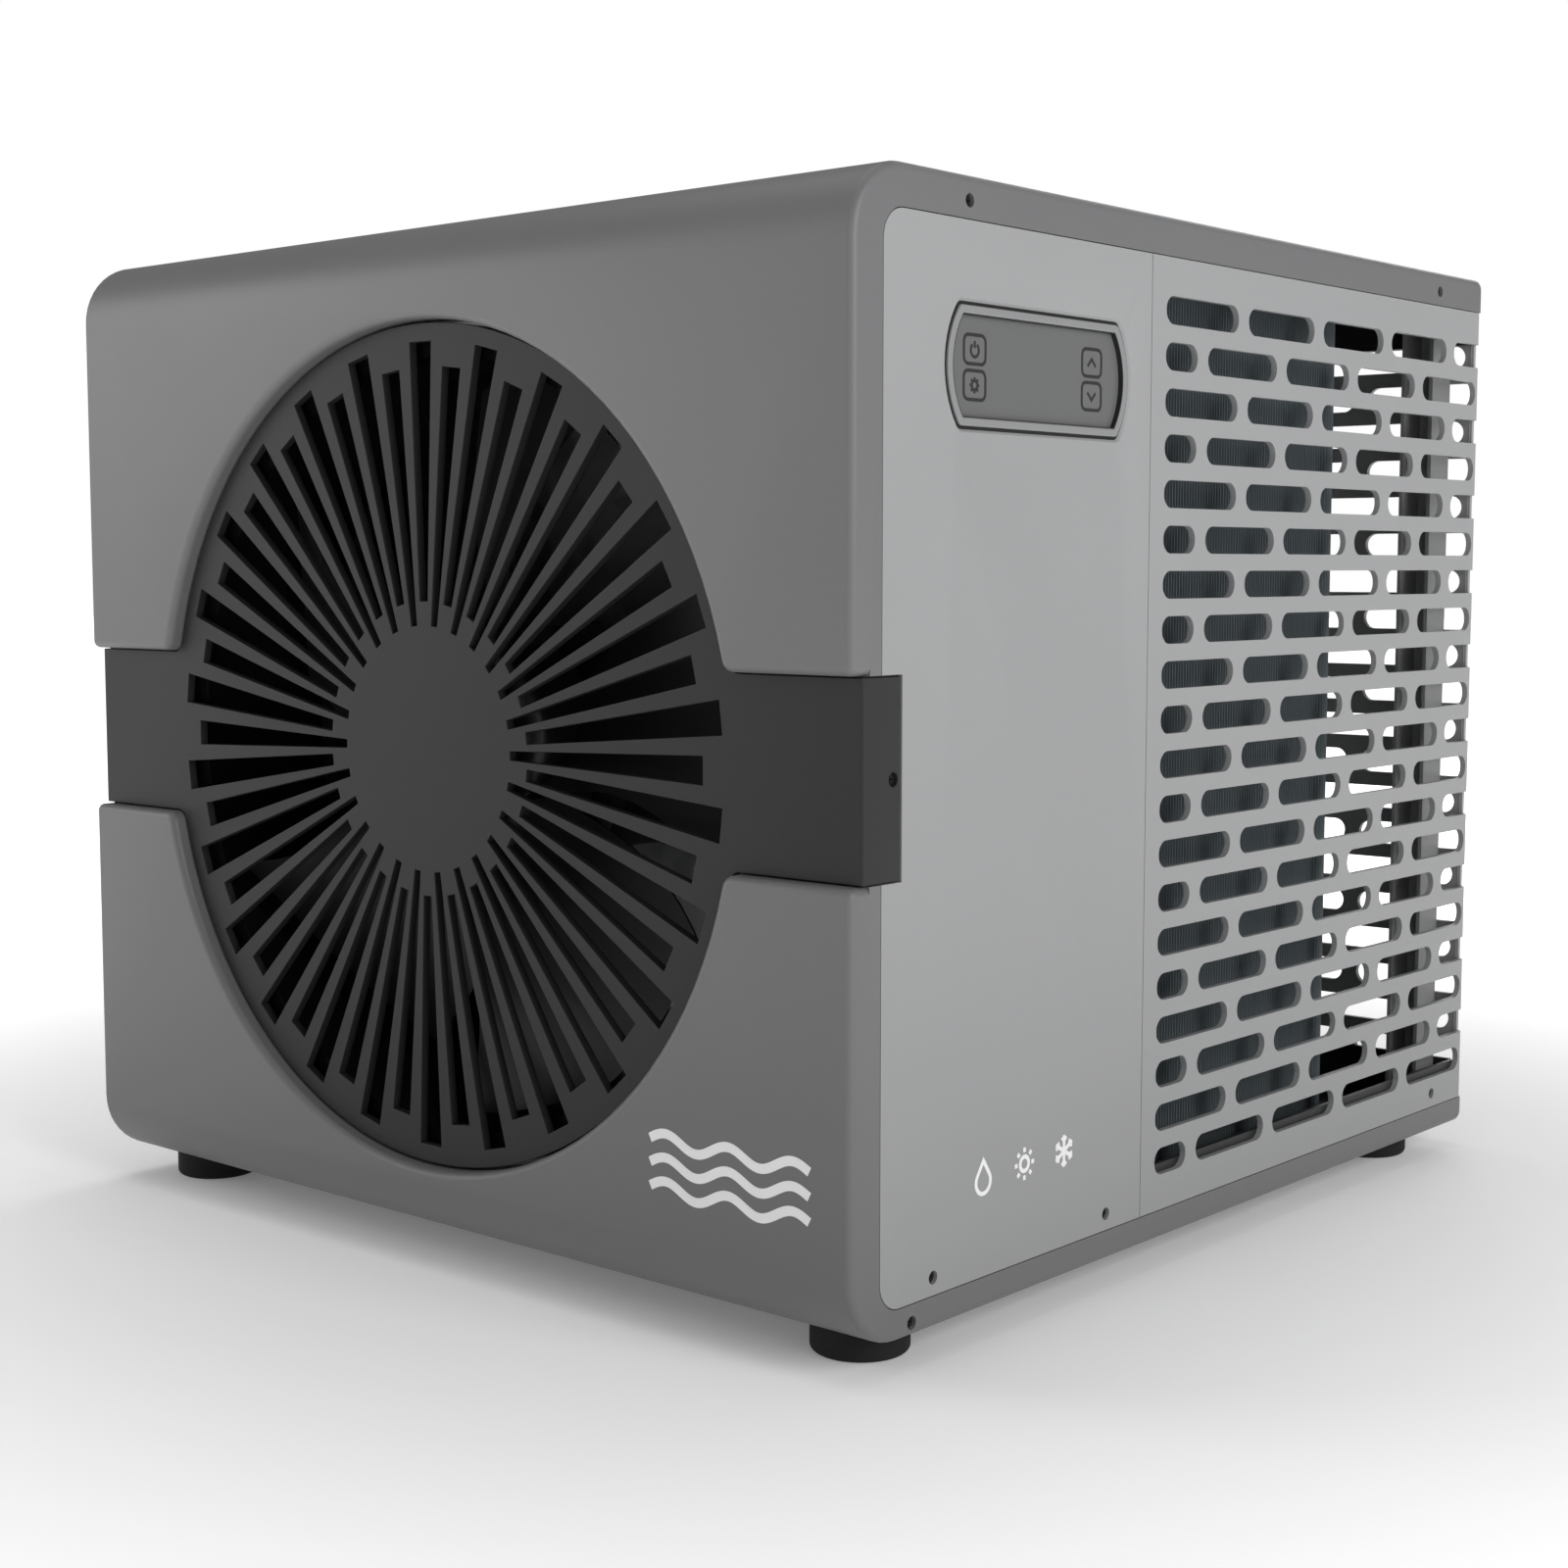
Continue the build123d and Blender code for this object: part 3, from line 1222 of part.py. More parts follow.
for piece in PIECES:
    write(piece.__name__, piece())
for name, place in key_places().items():
    write(name, key(place))
write("inlet_union_nut", union_nut(WATER_LOW_Z))
write("outlet_union_nut", union_nut(WATER_HIGH_Z))
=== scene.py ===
import json
import math

import bmesh
import bpy
from mathutils import Euler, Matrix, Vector


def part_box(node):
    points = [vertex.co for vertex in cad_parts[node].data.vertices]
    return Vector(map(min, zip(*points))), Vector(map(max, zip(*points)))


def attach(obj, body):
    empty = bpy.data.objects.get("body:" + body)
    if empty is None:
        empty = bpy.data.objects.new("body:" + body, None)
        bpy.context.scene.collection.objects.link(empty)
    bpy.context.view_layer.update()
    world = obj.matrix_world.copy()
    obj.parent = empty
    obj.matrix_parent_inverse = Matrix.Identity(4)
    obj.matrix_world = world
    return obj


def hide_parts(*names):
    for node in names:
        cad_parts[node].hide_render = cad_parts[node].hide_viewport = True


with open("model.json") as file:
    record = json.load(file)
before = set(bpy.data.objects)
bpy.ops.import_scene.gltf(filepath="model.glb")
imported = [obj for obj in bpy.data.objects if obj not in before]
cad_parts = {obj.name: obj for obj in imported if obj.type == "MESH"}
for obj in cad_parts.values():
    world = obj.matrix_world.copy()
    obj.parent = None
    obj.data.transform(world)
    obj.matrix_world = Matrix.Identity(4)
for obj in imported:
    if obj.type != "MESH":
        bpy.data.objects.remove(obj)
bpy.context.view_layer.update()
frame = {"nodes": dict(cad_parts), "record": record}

# ---- The studio
# The unit stands on a pale floor in an even white room. The camera stands low and close on the display's
# side, so the upright edges stay upright and the far sides shrink strongly.

case_low, case_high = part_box("front_shell")
front_y = case_low.y
side_x = case_high.x
base_z = case_low.z

camera_data = bpy.data.cameras.new("camera")
camera_data.lens = 54.5
camera_data.sensor_width = 36.0
camera = bpy.data.objects.new("camera", camera_data)
camera.location = (0.5892, front_y - 0.4966, base_z + 0.2199)
camera.rotation_euler = Euler((math.radians(84.765), 0, math.radians(40.98)))
bpy.context.scene.collection.objects.link(camera)
bpy.context.scene.camera = camera
bpy.context.scene.view_settings.view_transform = "Standard"


def lamp(name, place, target, size, power):
    """A square soft light that faces a point."""
    data = bpy.data.lights.new(name, "AREA")
    data.size = size
    data.energy = power
    light = bpy.data.objects.new(name, data)
    light.location = place
    light.rotation_euler = (Vector(target) - Vector(place)).to_track_quat("-Z", "Y").to_euler()
    bpy.context.scene.collection.objects.link(light)


lamp("ceiling_box", (-0.3, -0.1, 1.9), (0, 0, 0.2), 1.4, 7.5)
lamp("left_box", (-1.15, -0.95, 0.60), (-0.1, -0.2, 0.2), 0.7, 4.6)
lamp("right_box", (1.9, -0.3, 0.9), (0.1, 0.1, 0.15), 1.0, 19.5)
lamp("back_box", (-0.5, 1.8, 1.0), (0, 0.2, 0.15), 1.0, 9.0)


class Value:
    """A shader socket that can be used in sums, with numbers or with other sockets."""

    def __init__(self, finish, socket):
        self.finish = finish
        self.socket = socket

    def math(self, operation, a, b):
        return self.finish.node("ShaderNodeMath", {"operation": operation}, a, b)

    def __add__(self, other):
        return self.math("ADD", self, other)

    def __radd__(self, other):
        return self.math("ADD", other, self)

    def __mul__(self, other):
        return self.math("MULTIPLY", self, other)

    def __rmul__(self, other):
        return self.math("MULTIPLY", other, self)


class Finish:
    """A material with one Principled shader, and a short way to add nodes to it."""

    def __init__(self, name, color, roughness, metallic=0.0, **fixed):
        self.color = color
        self.material = bpy.data.materials.new(name)
        self.material.use_nodes = True
        self.tree = self.material.node_tree
        self.shader = self.tree.nodes["Principled BSDF"]
        self.shader.inputs["Base Color"].default_value = (*color, 1.0)
        self.shader.inputs["Roughness"].default_value = roughness
        self.shader.inputs["Metallic"].default_value = metallic
        for socket, value in fixed.items():
            self.shader.inputs[socket.replace("_", " ")].default_value = value

    def put(self, socket, value):
        """Links a value to a socket, or sets the socket to a number or a colour."""
        if isinstance(value, Value):
            self.tree.links.new(value.socket, socket)
        elif isinstance(value, tuple) and socket.type == "RGBA":
            socket.default_value = (*value, 1.0)
        else:
            socket.default_value = value

    def node(self, kind, settings, *values, out=0, **named):
        """Adds a node: its settings first, then its sockets by order or by name."""
        made = self.tree.nodes.new(kind)
        for key, value in settings.items():
            setattr(made, key, value)
        for i, value in enumerate(values):
            self.put(made.inputs[i], value)
        for key, value in named.items():
            self.put(made.inputs[key.replace("_", " ")], value)
        return Value(self, made.outputs[out])

    def place(self):
        """The point's own place on the piece, in metres."""
        return self.node("ShaderNodeTexCoord", {}, out=3)

    def noise(self, scale, detail=2.0):
        """Smooth noise from 0 to 1, by its scale in turns to the metre."""
        return self.node("ShaderNodeTexNoise", {}, Vector=self.place(), Scale=scale, Detail=detail)

    def ramp(self, value, low, high):
        """A value's place between two others, from 0 to 1, with soft ends."""
        settings = {"interpolation_type": "SMOOTHSTEP"}
        return self.node("ShaderNodeMapRange", settings, value, low, high, 0.0, 1.0)

    def blend(self, share, a, b):
        """Mixes two colours by a share from 0 to 1."""
        made = self.tree.nodes.new("ShaderNodeMix")
        made.data_type = "RGBA"
        self.put(made.inputs["Factor"], share)
        self.put(made.inputs[6], a)
        self.put(made.inputs[7], b)
        return Value(self, made.outputs[2])

    def wear(self, change, roughness, scale=14.0):
        """Slow changes of colour and gloss over a surface."""
        cloud = self.noise(scale, 4.0)
        lighter = tuple(min(1.0, c * (1 + change)) for c in self.color)
        darker = tuple(c * (1 - change) for c in self.color)
        self.put(self.shader.inputs["Base Color"], self.blend(cloud, darker, lighter))
        self.put(self.shader.inputs["Roughness"], cloud * 0.10 + (roughness - 0.05))
        return self

    def grain(self, scale, height, detail=3.0):
        """A fine moulded or powder-coated grain, by its height in metres."""
        bumps = self.noise(scale, detail)
        bump = self.node("ShaderNodeBump", {}, Strength=1.0, Distance=height, Height=bumps)
        self.put(self.shader.inputs["Normal"], bump)
        return self


def new_mesh(name, points, faces):
    """A mesh object at the origin from points and faces."""
    mesh = bpy.data.meshes.new(name)
    mesh.from_pydata([tuple(p) for p in points], [], faces)
    mesh.update()
    piece = bpy.data.objects.new(name, mesh)
    bpy.context.scene.collection.objects.link(piece)
    return piece


# The room is brighter to the eye than it is as a light, so that shadows keep their depth.
ROOM_LIGHT = 0.27
room = bpy.data.worlds.new("white_room")
bpy.context.scene.world = room
room.use_nodes = True
wires = room.node_tree
ray = wires.nodes.new("ShaderNodeLightPath")
strength = wires.nodes.new("ShaderNodeMapRange")
strength.inputs["To Min"].default_value = ROOM_LIGHT
strength.inputs["To Max"].default_value = 1.0
wires.links.new(ray.outputs["Is Camera Ray"], strength.inputs["Value"])
wires.links.new(strength.outputs["Result"], wires.nodes["Background"].inputs["Strength"])
wires.nodes["Background"].inputs["Color"].default_value = (1.0, 1.0, 1.0, 1.0)

# The floor glows softly from a metre out, so that it runs into the white of the room.
FLOOR_HALF = 9.0
GLOW_START = 0.24
GLOW_FULL = 0.9
floor_paint = Finish("floor_paint", (0.93, 0.93, 0.93), 0.9).grain(60.0, 0.0001)
floor_point = floor_paint.place()
floor_reach = floor_paint.node("ShaderNodeVectorMath", {"operation": "LENGTH"}, floor_point, out=1)
glow = floor_paint.ramp(floor_reach, GLOW_START, GLOW_FULL)
floor_glow = floor_paint.blend(glow, (0.12, 0.12, 0.12), (1.0, 1.0, 1.0))
floor_paint.put(floor_paint.shader.inputs["Emission Color"], floor_glow)
floor_paint.shader.inputs["Emission Strength"].default_value = 1.0
corners = [(-FLOOR_HALF, -FLOOR_HALF, 0), (FLOOR_HALF, -FLOOR_HALF, 0)]
corners += [(FLOOR_HALF, FLOOR_HALF, 0), (-FLOOR_HALF, FLOOR_HALF, 0)]
floor = new_mesh("floor", corners, [(0, 1, 2, 3)])
floor.data.materials.append(floor_paint.material)

# ---- The hood
# One dark hood makes the front, the top and the underside. It is moulded in a mid-grey plastic with a
# satin, very finely grained face, and its rims turn round both sides and the back.

node_bodies = {}
for body, nodes in frame["record"]["behaviour"]["bodies"].items():
    for node in nodes:
        node_bodies[node] = body


def dress(finish, *names):
    """Gives CAD nodes a finish through their own material slots."""
    for name in names:
        slots = frame["nodes"][name].data.materials
        if not slots:
            slots.append(finish.material)
        for i in range(len(slots)):
            slots[i] = finish.material


def softened(node, width, finish, segments=2, sharp=35.0):
    """A copy of a CAD node with its sharp edges rounded, which stands for the node."""
    source = frame["nodes"][node]
    build = bmesh.new()
    build.from_mesh(source.data)
    bmesh.ops.remove_doubles(build, verts=build.verts, dist=0.000002)
    bmesh.ops.dissolve_limit(build, angle_limit=math.radians(0.4), verts=build.verts, edges=build.edges)
    piece = new_mesh(node + "_moulded", [], [])
    build.to_mesh(piece.data)
    build.free()
    piece.data.shade_smooth()
    piece.data.set_sharp_from_angle(angle=math.radians(sharp))
    piece.data.materials.clear()
    piece.data.materials.append(finish.material)
    for polygon in piece.data.polygons:
        polygon.material_index = 0
    bevel = piece.modifiers.new("rounding", "BEVEL")
    bevel.width = width
    bevel.segments = segments
    bevel.limit_method = "ANGLE"
    bevel.angle_limit = math.radians(sharp)
    bevel.harden_normals = True
    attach(piece, node_bodies[node])
    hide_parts(node)
    return piece


HOOD_GREY = (0.140, 0.141, 0.144)
hood_plastic = Finish("hood_plastic", HOOD_GREY, 0.42, Specular_IOR_Level=0.4)
hood_plastic.wear(0.04, 0.42).grain(2600.0, 0.00006)
softened("front_shell", 0.0004, hood_plastic)

# ---- The fan grille and its band
# One near-black moulding: a flat disc cut with long and short radial slots, and the band that crosses the
# front and wraps on to both sides, where one screw holds each end.

grille_plastic = Finish("grille_plastic", (0.0195, 0.0198, 0.0206), 0.5, Specular_IOR_Level=0.25)
grille_plastic.wear(0.06, 0.5).grain(2200.0, 0.00008)
softened("front_grille", 0.0003, grille_plastic)

# ---- The light skins
# Pressed panels in light grey fill the rims on both sides and wrap round the rear corners. Their slots are
# punched, so the edges are only lightly rounded.

skin_coat = Finish("skin_coat", (0.288, 0.290, 0.294), 0.48, Specular_IOR_Level=0.4)
skin_coat.wear(0.03, 0.48).grain(3000.0, 0.00005)
for skin in ("right_front_panel", "right_grille_panel", "left_front_panel", "left_rear_panel"):
    softened(skin, 0.0003, skin_coat)

# ---- The case screws
# Short black self-tapping screws with a cross recess, sunk in the rims, the skins and the band's ends.


class Recipe:
    """A Geometry Nodes tree with named sizes, grown once into a plain mesh."""

    def __init__(self, name, **sizes):
        self.name = name
        self.sizes = sizes
        self.tree = bpy.data.node_groups.new(name, "GeometryNodeTree")
        face = self.tree.interface
        face.new_socket("Geometry", in_out="INPUT", socket_type="NodeSocketGeometry")
        self.keys = {}
        for label, value in sizes.items():
            kind = "NodeSocketInt" if isinstance(value, int) else "NodeSocketFloat"
            self.keys[label] = face.new_socket(label, in_out="INPUT", socket_type=kind).identifier
        face.new_socket("Geometry", in_out="OUTPUT", socket_type="NodeSocketGeometry")
        self.entry = self.tree.nodes.new("NodeGroupInput")

    def size(self, label):
        """One of the tree's own inputs."""
        return self.entry.outputs[label]

    def node(self, kind, settings, out=0, **values):
        """Adds a node: its settings first, then its sockets by name, and gives one output."""
        made = self.tree.nodes.new(kind)
        for key, value in settings.items():
            setattr(made, key, value)
        for key, value in values.items():
            socket = made.inputs[key.replace("_", " ")]
            if isinstance(value, bpy.types.NodeSocket):
                self.tree.links.new(value, socket)
            else:
                socket.default_value = value
        return made.outputs[out]

    def grow(self, name, points, edges, geometry, finish, body, slot):
        """Ends the tree, runs it on a mesh of points and edges, and keeps the plain result."""
        real = self.node("GeometryNodeRealizeInstances", {}, Geometry=geometry)
        dressed = self.node("GeometryNodeSetMaterial", {}, Geometry=real, Material=finish.material)
        exit_node = self.tree.nodes.new("NodeGroupOutput")
        self.tree.links.new(dressed, exit_node.inputs["Geometry"])
        piece = new_mesh(name, [], [])
        piece.data.from_pydata([tuple(p) for p in points], edges, [])
        modifier = piece.modifiers.new(self.name, "NODES")
        modifier.node_group = self.tree
        for label, value in self.sizes.items():
            modifier[self.keys[label]] = value
        bpy.context.view_layer.update()
        grown = bpy.data.meshes.new_from_object(piece.evaluated_get(bpy.context.evaluated_depsgraph_get()))
        piece.modifiers.clear()
        piece.data = grown
        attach(piece, body)
        return piece


def islands(node):
    """The lowest and highest corner of each separate solid in a CAD node."""
    build = bmesh.new()
    build.from_mesh(frame["nodes"][node].data)
    bmesh.ops.remove_doubles(build, verts=build.verts, dist=0.000002)
    left = set(build.verts)
    found = []
    while left:
        front = [left.pop()]
        group = list(front)
        while front:
            for edge in front.pop().link_edges:
                for vert in edge.verts:
                    if vert in left:
                        left.remove(vert)
                        front.append(vert)
                        group.append(vert)
        low = Vector([min(v.co[i] for v in group) for i in range(3)])
        high = Vector([max(v.co[i] for v in group) for i in range(3)])
        found.append((low, high))
    build.free()
    return found


HEAD_R = 0.0019
HEAD_T = 0.0012
RECESS_L = 0.0024
RECESS_W = 0.0005

screw_black = Finish("screw_black", (0.030, 0.030, 0.031), 0.35, 0.6)
screw_black.wear(0.3, 0.35, 300.0)
heads = []
for low, high in islands("case_screws"):
    middle = (low + high) / 2
    out = high.x if middle.x > 0 else low.x
    heads.append((out - math.copysign(HEAD_T / 2, out), middle.y, middle.z))

head_sizes = {"head_radius": HEAD_R, "head_depth": HEAD_T, "recess_long": RECESS_L, "recess_wide": RECESS_W}
screws = Recipe("sunk_screws", **head_sizes)
radius, depth, long, wide = (screws.size(label) for label in head_sizes)
head = screws.node("GeometryNodeMeshCylinder", {}, Vertices=24, Radius=radius, Depth=depth)
long_cut = screws.node("ShaderNodeCombineXYZ", {}, X=long, Y=wide, Z=depth)
wide_cut = screws.node("ShaderNodeCombineXYZ", {}, X=wide, Y=long, Z=depth)
cutters = []
for cut_size in (long_cut, wide_cut):
    bar = screws.node("GeometryNodeMeshCube", {}, Size=cut_size)
    cutters.append(screws.node("GeometryNodeTransform", {}, Geometry=bar, Translation=(0, 0, HEAD_T / 2)))
cross = screws.tree.nodes.new("GeometryNodeMeshBoolean")
cross.operation = "DIFFERENCE"
screws.tree.links.new(head, cross.inputs[0])
for cutter in cutters:
    screws.tree.links.new(cutter, cross.inputs[1])
spot = screws.node("GeometryNodeInputPosition", {})
spot_x = screws.node("ShaderNodeSeparateXYZ", {}, Vector=spot)
outward = screws.node("ShaderNodeCombineXYZ", {}, X=spot_x, Y=0.0, Z=0.0)
turned = screws.node("FunctionNodeAlignRotationToVector", {"axis": "Z"}, Vector=outward)
spots = screws.size("Geometry")
screw = cross.outputs[0]
placed = screws.node("GeometryNodeInstanceOnPoints", {}, Points=spots, Instance=screw, Rotation=turned)
sunk = screws.grow("sunk_case_screws", heads, [], placed, screw_black, "case", "dark_screw")
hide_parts("case_screws")

# ---- The display
# A light frame with bowed ends holds a dark smoked plate a little below the skin. A black seal round the
# frame and a black ring on the recess wall are painted shade. Four keys press in through the plate; their
# signs are printed in black, and black rings over the gaps round the keys are painted shade of those gaps.

PLATE_SINK = 0.0018
BEZEL_W = 0.0024
BOW_REACH = 0.01902
BOW_R = 0.02708
BEZEL_HALF_H = 0.017
KEY_R = 0.0016
INK = 0.00006
STROKE_STEP = 0.000004
SEAL_AND_SHADE_W = 0.0014
GAP_SHADE_W = 0.0010
CAP_GAP = 0.0006
GAP_SHADE_GROW = 0.0004

plate_low, plate_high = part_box("display_plate")
display_y = (plate_low.y + plate_high.y) / 2
display_z = (plate_low.z + plate_high.z) / 2
plate_x = plate_high.x


def stroke_sides(points, width, closed):
    """The left and right edge of a line drawn with a given width."""
    left, right = [], []
    count = len(points)
    for i, point in enumerate(points):
        before = points[i - 1] if closed or i > 0 else point
        after = points[(i + 1) % count] if closed or i < count - 1 else point
        back = (Vector(point) - Vector(before)).normalized() if before != point else None
        ahead = (Vector(after) - Vector(point)).normalized() if after != point else None
        back = back or ahead
        ahead = ahead or back
        way = (back + ahead).normalized()
        side = Vector((-way.y, way.x)) * (width / 2 / max(0.4, way.dot(ahead)))
        left.append(Vector(point) + side)
        right.append(Vector(point) - side)
    return left, right


def inked(name, lines, to_world, heights, finish, body):
    """A flat print, seal or ring of painted shade made of lines, each as (points, width, closed), between
    two heights.

    Each line lies a few microns above the one before, so that crossing lines never share a plane.
    """
    points, faces = [], []
    for number, (path, width, closed) in enumerate(lines):
        left, right = stroke_sides(path, width, closed)
        start = len(points)
        for a, b in zip(left, right):
            for height in heights:
                height += STROKE_STEP * number
                points += [to_world(a, height), to_world(b, height)]
        count = len(path)
        for i in range(count if closed else count - 1):
            one = start + 4 * i
            two = start + 4 * ((i + 1) % count)
            for a, b in ((2, 3), (1, 0), (0, 2), (3, 1)):
                faces.append((one + a, one + b, two + b, two + a))
        if not closed:
            last = start + 4 * (count - 1)
            faces.append((start + 0, start + 1, start + 3, start + 2))
            faces.append((last + 0, last + 2, last + 3, last + 1))
    piece = new_mesh(name, points, faces)
    build = bmesh.new()
    build.from_mesh(piece.data)
    bmesh.ops.recalc_face_normals(build, faces=build.faces)
    build.to_mesh(piece.data)
    build.free()
    piece.data.materials.append(finish.material)
    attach(piece, body)
    return piece


def on_side(surface_x):
    """Turns (depth, height) on the display's side into a place, by its height above a surface."""
    return lambda point, height: (surface_x + height, point[0], point[1])


def arc(center, radius, start, end, steps):
    """Points of an arc, by its angles in degrees."""
    points = []
    for i in range(steps + 1):
        angle = math.radians(start + (end - start) * i / steps)
        points.append((center[0] + radius * math.cos(angle), center[1] + radius * math.sin(angle)))
    return points


def bowed_outline(grow):
    """The display's outline with bowed ends, larger or smaller than the frame's outer edge."""
    radius = BOW_R + grow
    tilt = math.degrees(math.asin((BEZEL_HALF_H + grow) / radius))
    near = arc((display_y + BOW_REACH, display_z), radius, -tilt, tilt, 14)
    far = arc((display_y - BOW_REACH, display_z), radius, 180 - tilt, 180 + tilt, 14)
    return near + far


def round_box(center, width, height, radius):
    """A rectangle's outline with round corners."""
    points = []
    for turn, (a, b) in enumerate(((1, 1), (-1, 1), (-1, -1), (1, -1))):
        corner = (center[0] + a * (width / 2 - radius), center[1] + b * (height / 2 - radius))
        points += arc(corner, radius, 90 * turn, 90 * turn + 90, 5)
    return points


bezel_coat = Finish("bezel_coat", (0.225, 0.227, 0.230), 0.38, Specular_IOR_Level=0.45)
bezel_coat.wear(0.02, 0.38).grain(3000.0, 0.00003)
softened("display_bezel", 0.0004, bezel_coat)
plate_film = Finish("plate_film", (0.126, 0.127, 0.129), 0.22, Specular_IOR_Level=0.5)
plate_film.wear(0.03, 0.22)
softened("display_plate", 0.00012, plate_film)
# This black prints the key signs. It is also used as painted shade: the ring on the recess wall and the
# rings over the key gaps.
ink_and_shade_black = Finish("ink_and_shade_black", (0.008, 0.008, 0.009), 0.5)
ink_and_shade_black.wear(0.2, 0.5, 200.0)
seal_rubber_and_shade = Finish("seal_rubber_and_shade", (0.010, 0.010, 0.011), 0.6, Specular_IOR_Level=0.25)
seal_rubber_and_shade.wear(0.2, 0.6, 90.0).grain(900.0, 0.00006)

# A black rubber seal fills the gap round the frame. It is widened to 1.4 mm so that it also paints the
# shade of the dished rim round the display.
seal_and_rim_shade = [(bowed_outline(0.0006), SEAL_AND_SHADE_W, True)]
inked("display_seal_and_rim_shade", seal_and_rim_shade, on_side(side_x), (-0.0020, -0.0008), seal_rubber_and_shade, "case")
# A black ring on the recess wall inside the frame: painted shade of the sunk plate's recess.
recess_shade_ring = [(bowed_outline(-BEZEL_W - 0.00015), 0.0003, True)]
recess_shade_heights = (-PLATE_SINK, -0.00025)
inked("display_recess_painted_shade", recess_shade_ring, on_side(side_x), recess_shade_heights, ink_and_shade_black, "case")

# Black rings laid over the gaps round the keys: painted shade of those gaps.
key_gap_shade_rings = []
key_places = {}
for key in ("key_power", "key_menu", "key_up", "key_down"):
    low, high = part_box(key)
    softened(key, 0.00012, plate_film)
    middle = ((low.y + high.y) / 2, (low.z + high.z) / 2)
    key_places[key] = middle
    shade_ring_w = high.y - low.y - CAP_GAP * 2 + GAP_SHADE_GROW * 2
    shade_ring_h = high.z - low.z - CAP_GAP * 2 + GAP_SHADE_GROW * 2
    key_gap_shade_rings.append((round_box(middle, shade_ring_w, shade_ring_h, KEY_R + GAP_SHADE_GROW), GAP_SHADE_W, True))
inked("key_gap_painted_shade", key_gap_shade_rings, on_side(plate_x), (-0.0002, INK), ink_and_shade_black, "case")

LINE = 0.0009
POWER_R = 0.0019
POWER_DROP = 0.0002
POWER_BAR = (0.0004, 0.0024)
GEAR_R = 0.0013
TEETH = 8
TOOTH = (0.0014, 0.0023)
CHEVRON_HALF_W = 0.0022
CHEVRON_RISE = 0.0011


def sign(key, lines):
    """Prints one key's sign, which moves with the key."""
    body = node_bodies[key]
    inked(key + "_sign", lines, on_side(plate_x), (-0.0001, INK), ink_and_shade_black, body)


y, z = key_places["key_power"]
sign("key_power", [
    (arc((y, z - POWER_DROP), POWER_R, 125, 415, 18), LINE, False),
    ([(y, z + POWER_BAR[1]), (y, z + POWER_BAR[0])], LINE, False),
])
y, z = key_places["key_menu"]
gear = [(arc((y, z), GEAR_R, 0, 345, 23), LINE, True)]
for tooth in range(TEETH):
    angle = math.radians(360 / TEETH * tooth)
    way = (math.cos(angle), math.sin(angle))
    root = (y + TOOTH[0] * way[0], z + TOOTH[0] * way[1])
    tip = (y + TOOTH[1] * way[0], z + TOOTH[1] * way[1])
    gear.append(([root, tip], LINE, False))
sign("key_menu", gear)
for key, lift in (("key_up", CHEVRON_RISE), ("key_down", -CHEVRON_RISE)):
    y, z = key_places[key]
    chevron = [(y - CHEVRON_HALF_W, z - lift), (y, z + lift), (y + CHEVRON_HALF_W, z - lift)]
    sign(key, [(chevron, LINE, False)])

# ---- The printed marks
# White pictograms stand where such a unit carries its name: waves on the front, and a drop, a sun and a
# snow crystal on the side.

mark_white = Finish("mark_white", (0.82, 0.82, 0.82), 0.45)
mark_white.wear(0.02, 0.45, 60.0)
MARK_T = 0.00008


def on_front(point, height):
    """Turns (x, height) on the front into a place, by its height above the front face."""
    return (point[0], front_y - height, point[1])


WAVE_X = (0.1052, 0.1672)
WAVE_Z = base_z + 0.0439
WAVE_STEP = 0.0072
WAVE_SWING = 0.0021
WAVE_TURNS = 2.5
waves = []
for row in (-1, 0, 1):
    path = []
    for i in range(61):
        share = i / 60
        swing = WAVE_SWING * math.sin(2 * math.pi * WAVE_TURNS * share)
        path.append((WAVE_X[0] + (WAVE_X[1] - WAVE_X[0]) * share, WAVE_Z + row * WAVE_STEP + swing))
    waves.append((path, 0.0029, False))
inked("front_mark", waves, on_front, (-0.0001, MARK_T), mark_white, "case")

SIGN_Z = base_z + 0.0400
SIGN_R = 0.0050
SIGN_LINE = 0.0013
SIGN_STEP = 0.0210
DROP_R = 0.0036
DROP_SINK = 0.0014
SUN_R = 0.0022
SUN_RAYS = 8
RAY_START = 0.0036
SNOW_ARMS = 6
TWIG_PLACE = 0.0030
TWIG_L = 0.0013
TWIG_W = 0.0009
side_marks = []
drop_y = front_y + 0.0620
drop = arc((drop_y, SIGN_Z - DROP_SINK), DROP_R, -215, 35, 22) + [(drop_y, SIGN_Z + SIGN_R)]
side_marks.append((drop, SIGN_LINE, True))
sun_y = drop_y + SIGN_STEP
side_marks.append((arc((sun_y, SIGN_Z), SUN_R, 0, 345, 23), SIGN_LINE, True))
for i in range(SUN_RAYS):
    angle = math.radians(360 / SUN_RAYS * i)
    way = Vector((math.cos(angle), math.sin(angle)))
    middle = Vector((sun_y, SIGN_Z))
    side_marks.append(([tuple(middle + way * RAY_START), tuple(middle + way * SIGN_R)], SIGN_LINE, False))
snow_y = sun_y + SIGN_STEP
for i in range(SNOW_ARMS):
    angle = math.radians(30 + 360 / SNOW_ARMS * i)
    way = Vector((math.cos(angle), math.sin(angle)))
    across = Vector((-way.y, way.x))
    middle = Vector((snow_y, SIGN_Z))
    side_marks.append(([tuple(middle), tuple(middle + way * SIGN_R)], SIGN_LINE, False))
    fork = middle + way * TWIG_PLACE
    twig = [tuple(fork + (way + across) * TWIG_L), tuple(fork), tuple(fork + (way - across) * TWIG_L)]
    side_marks.append((twig, TWIG_W, False))
inked("side_mark", side_marks, on_side(side_x), (-0.0001, MARK_T), mark_white, "case")

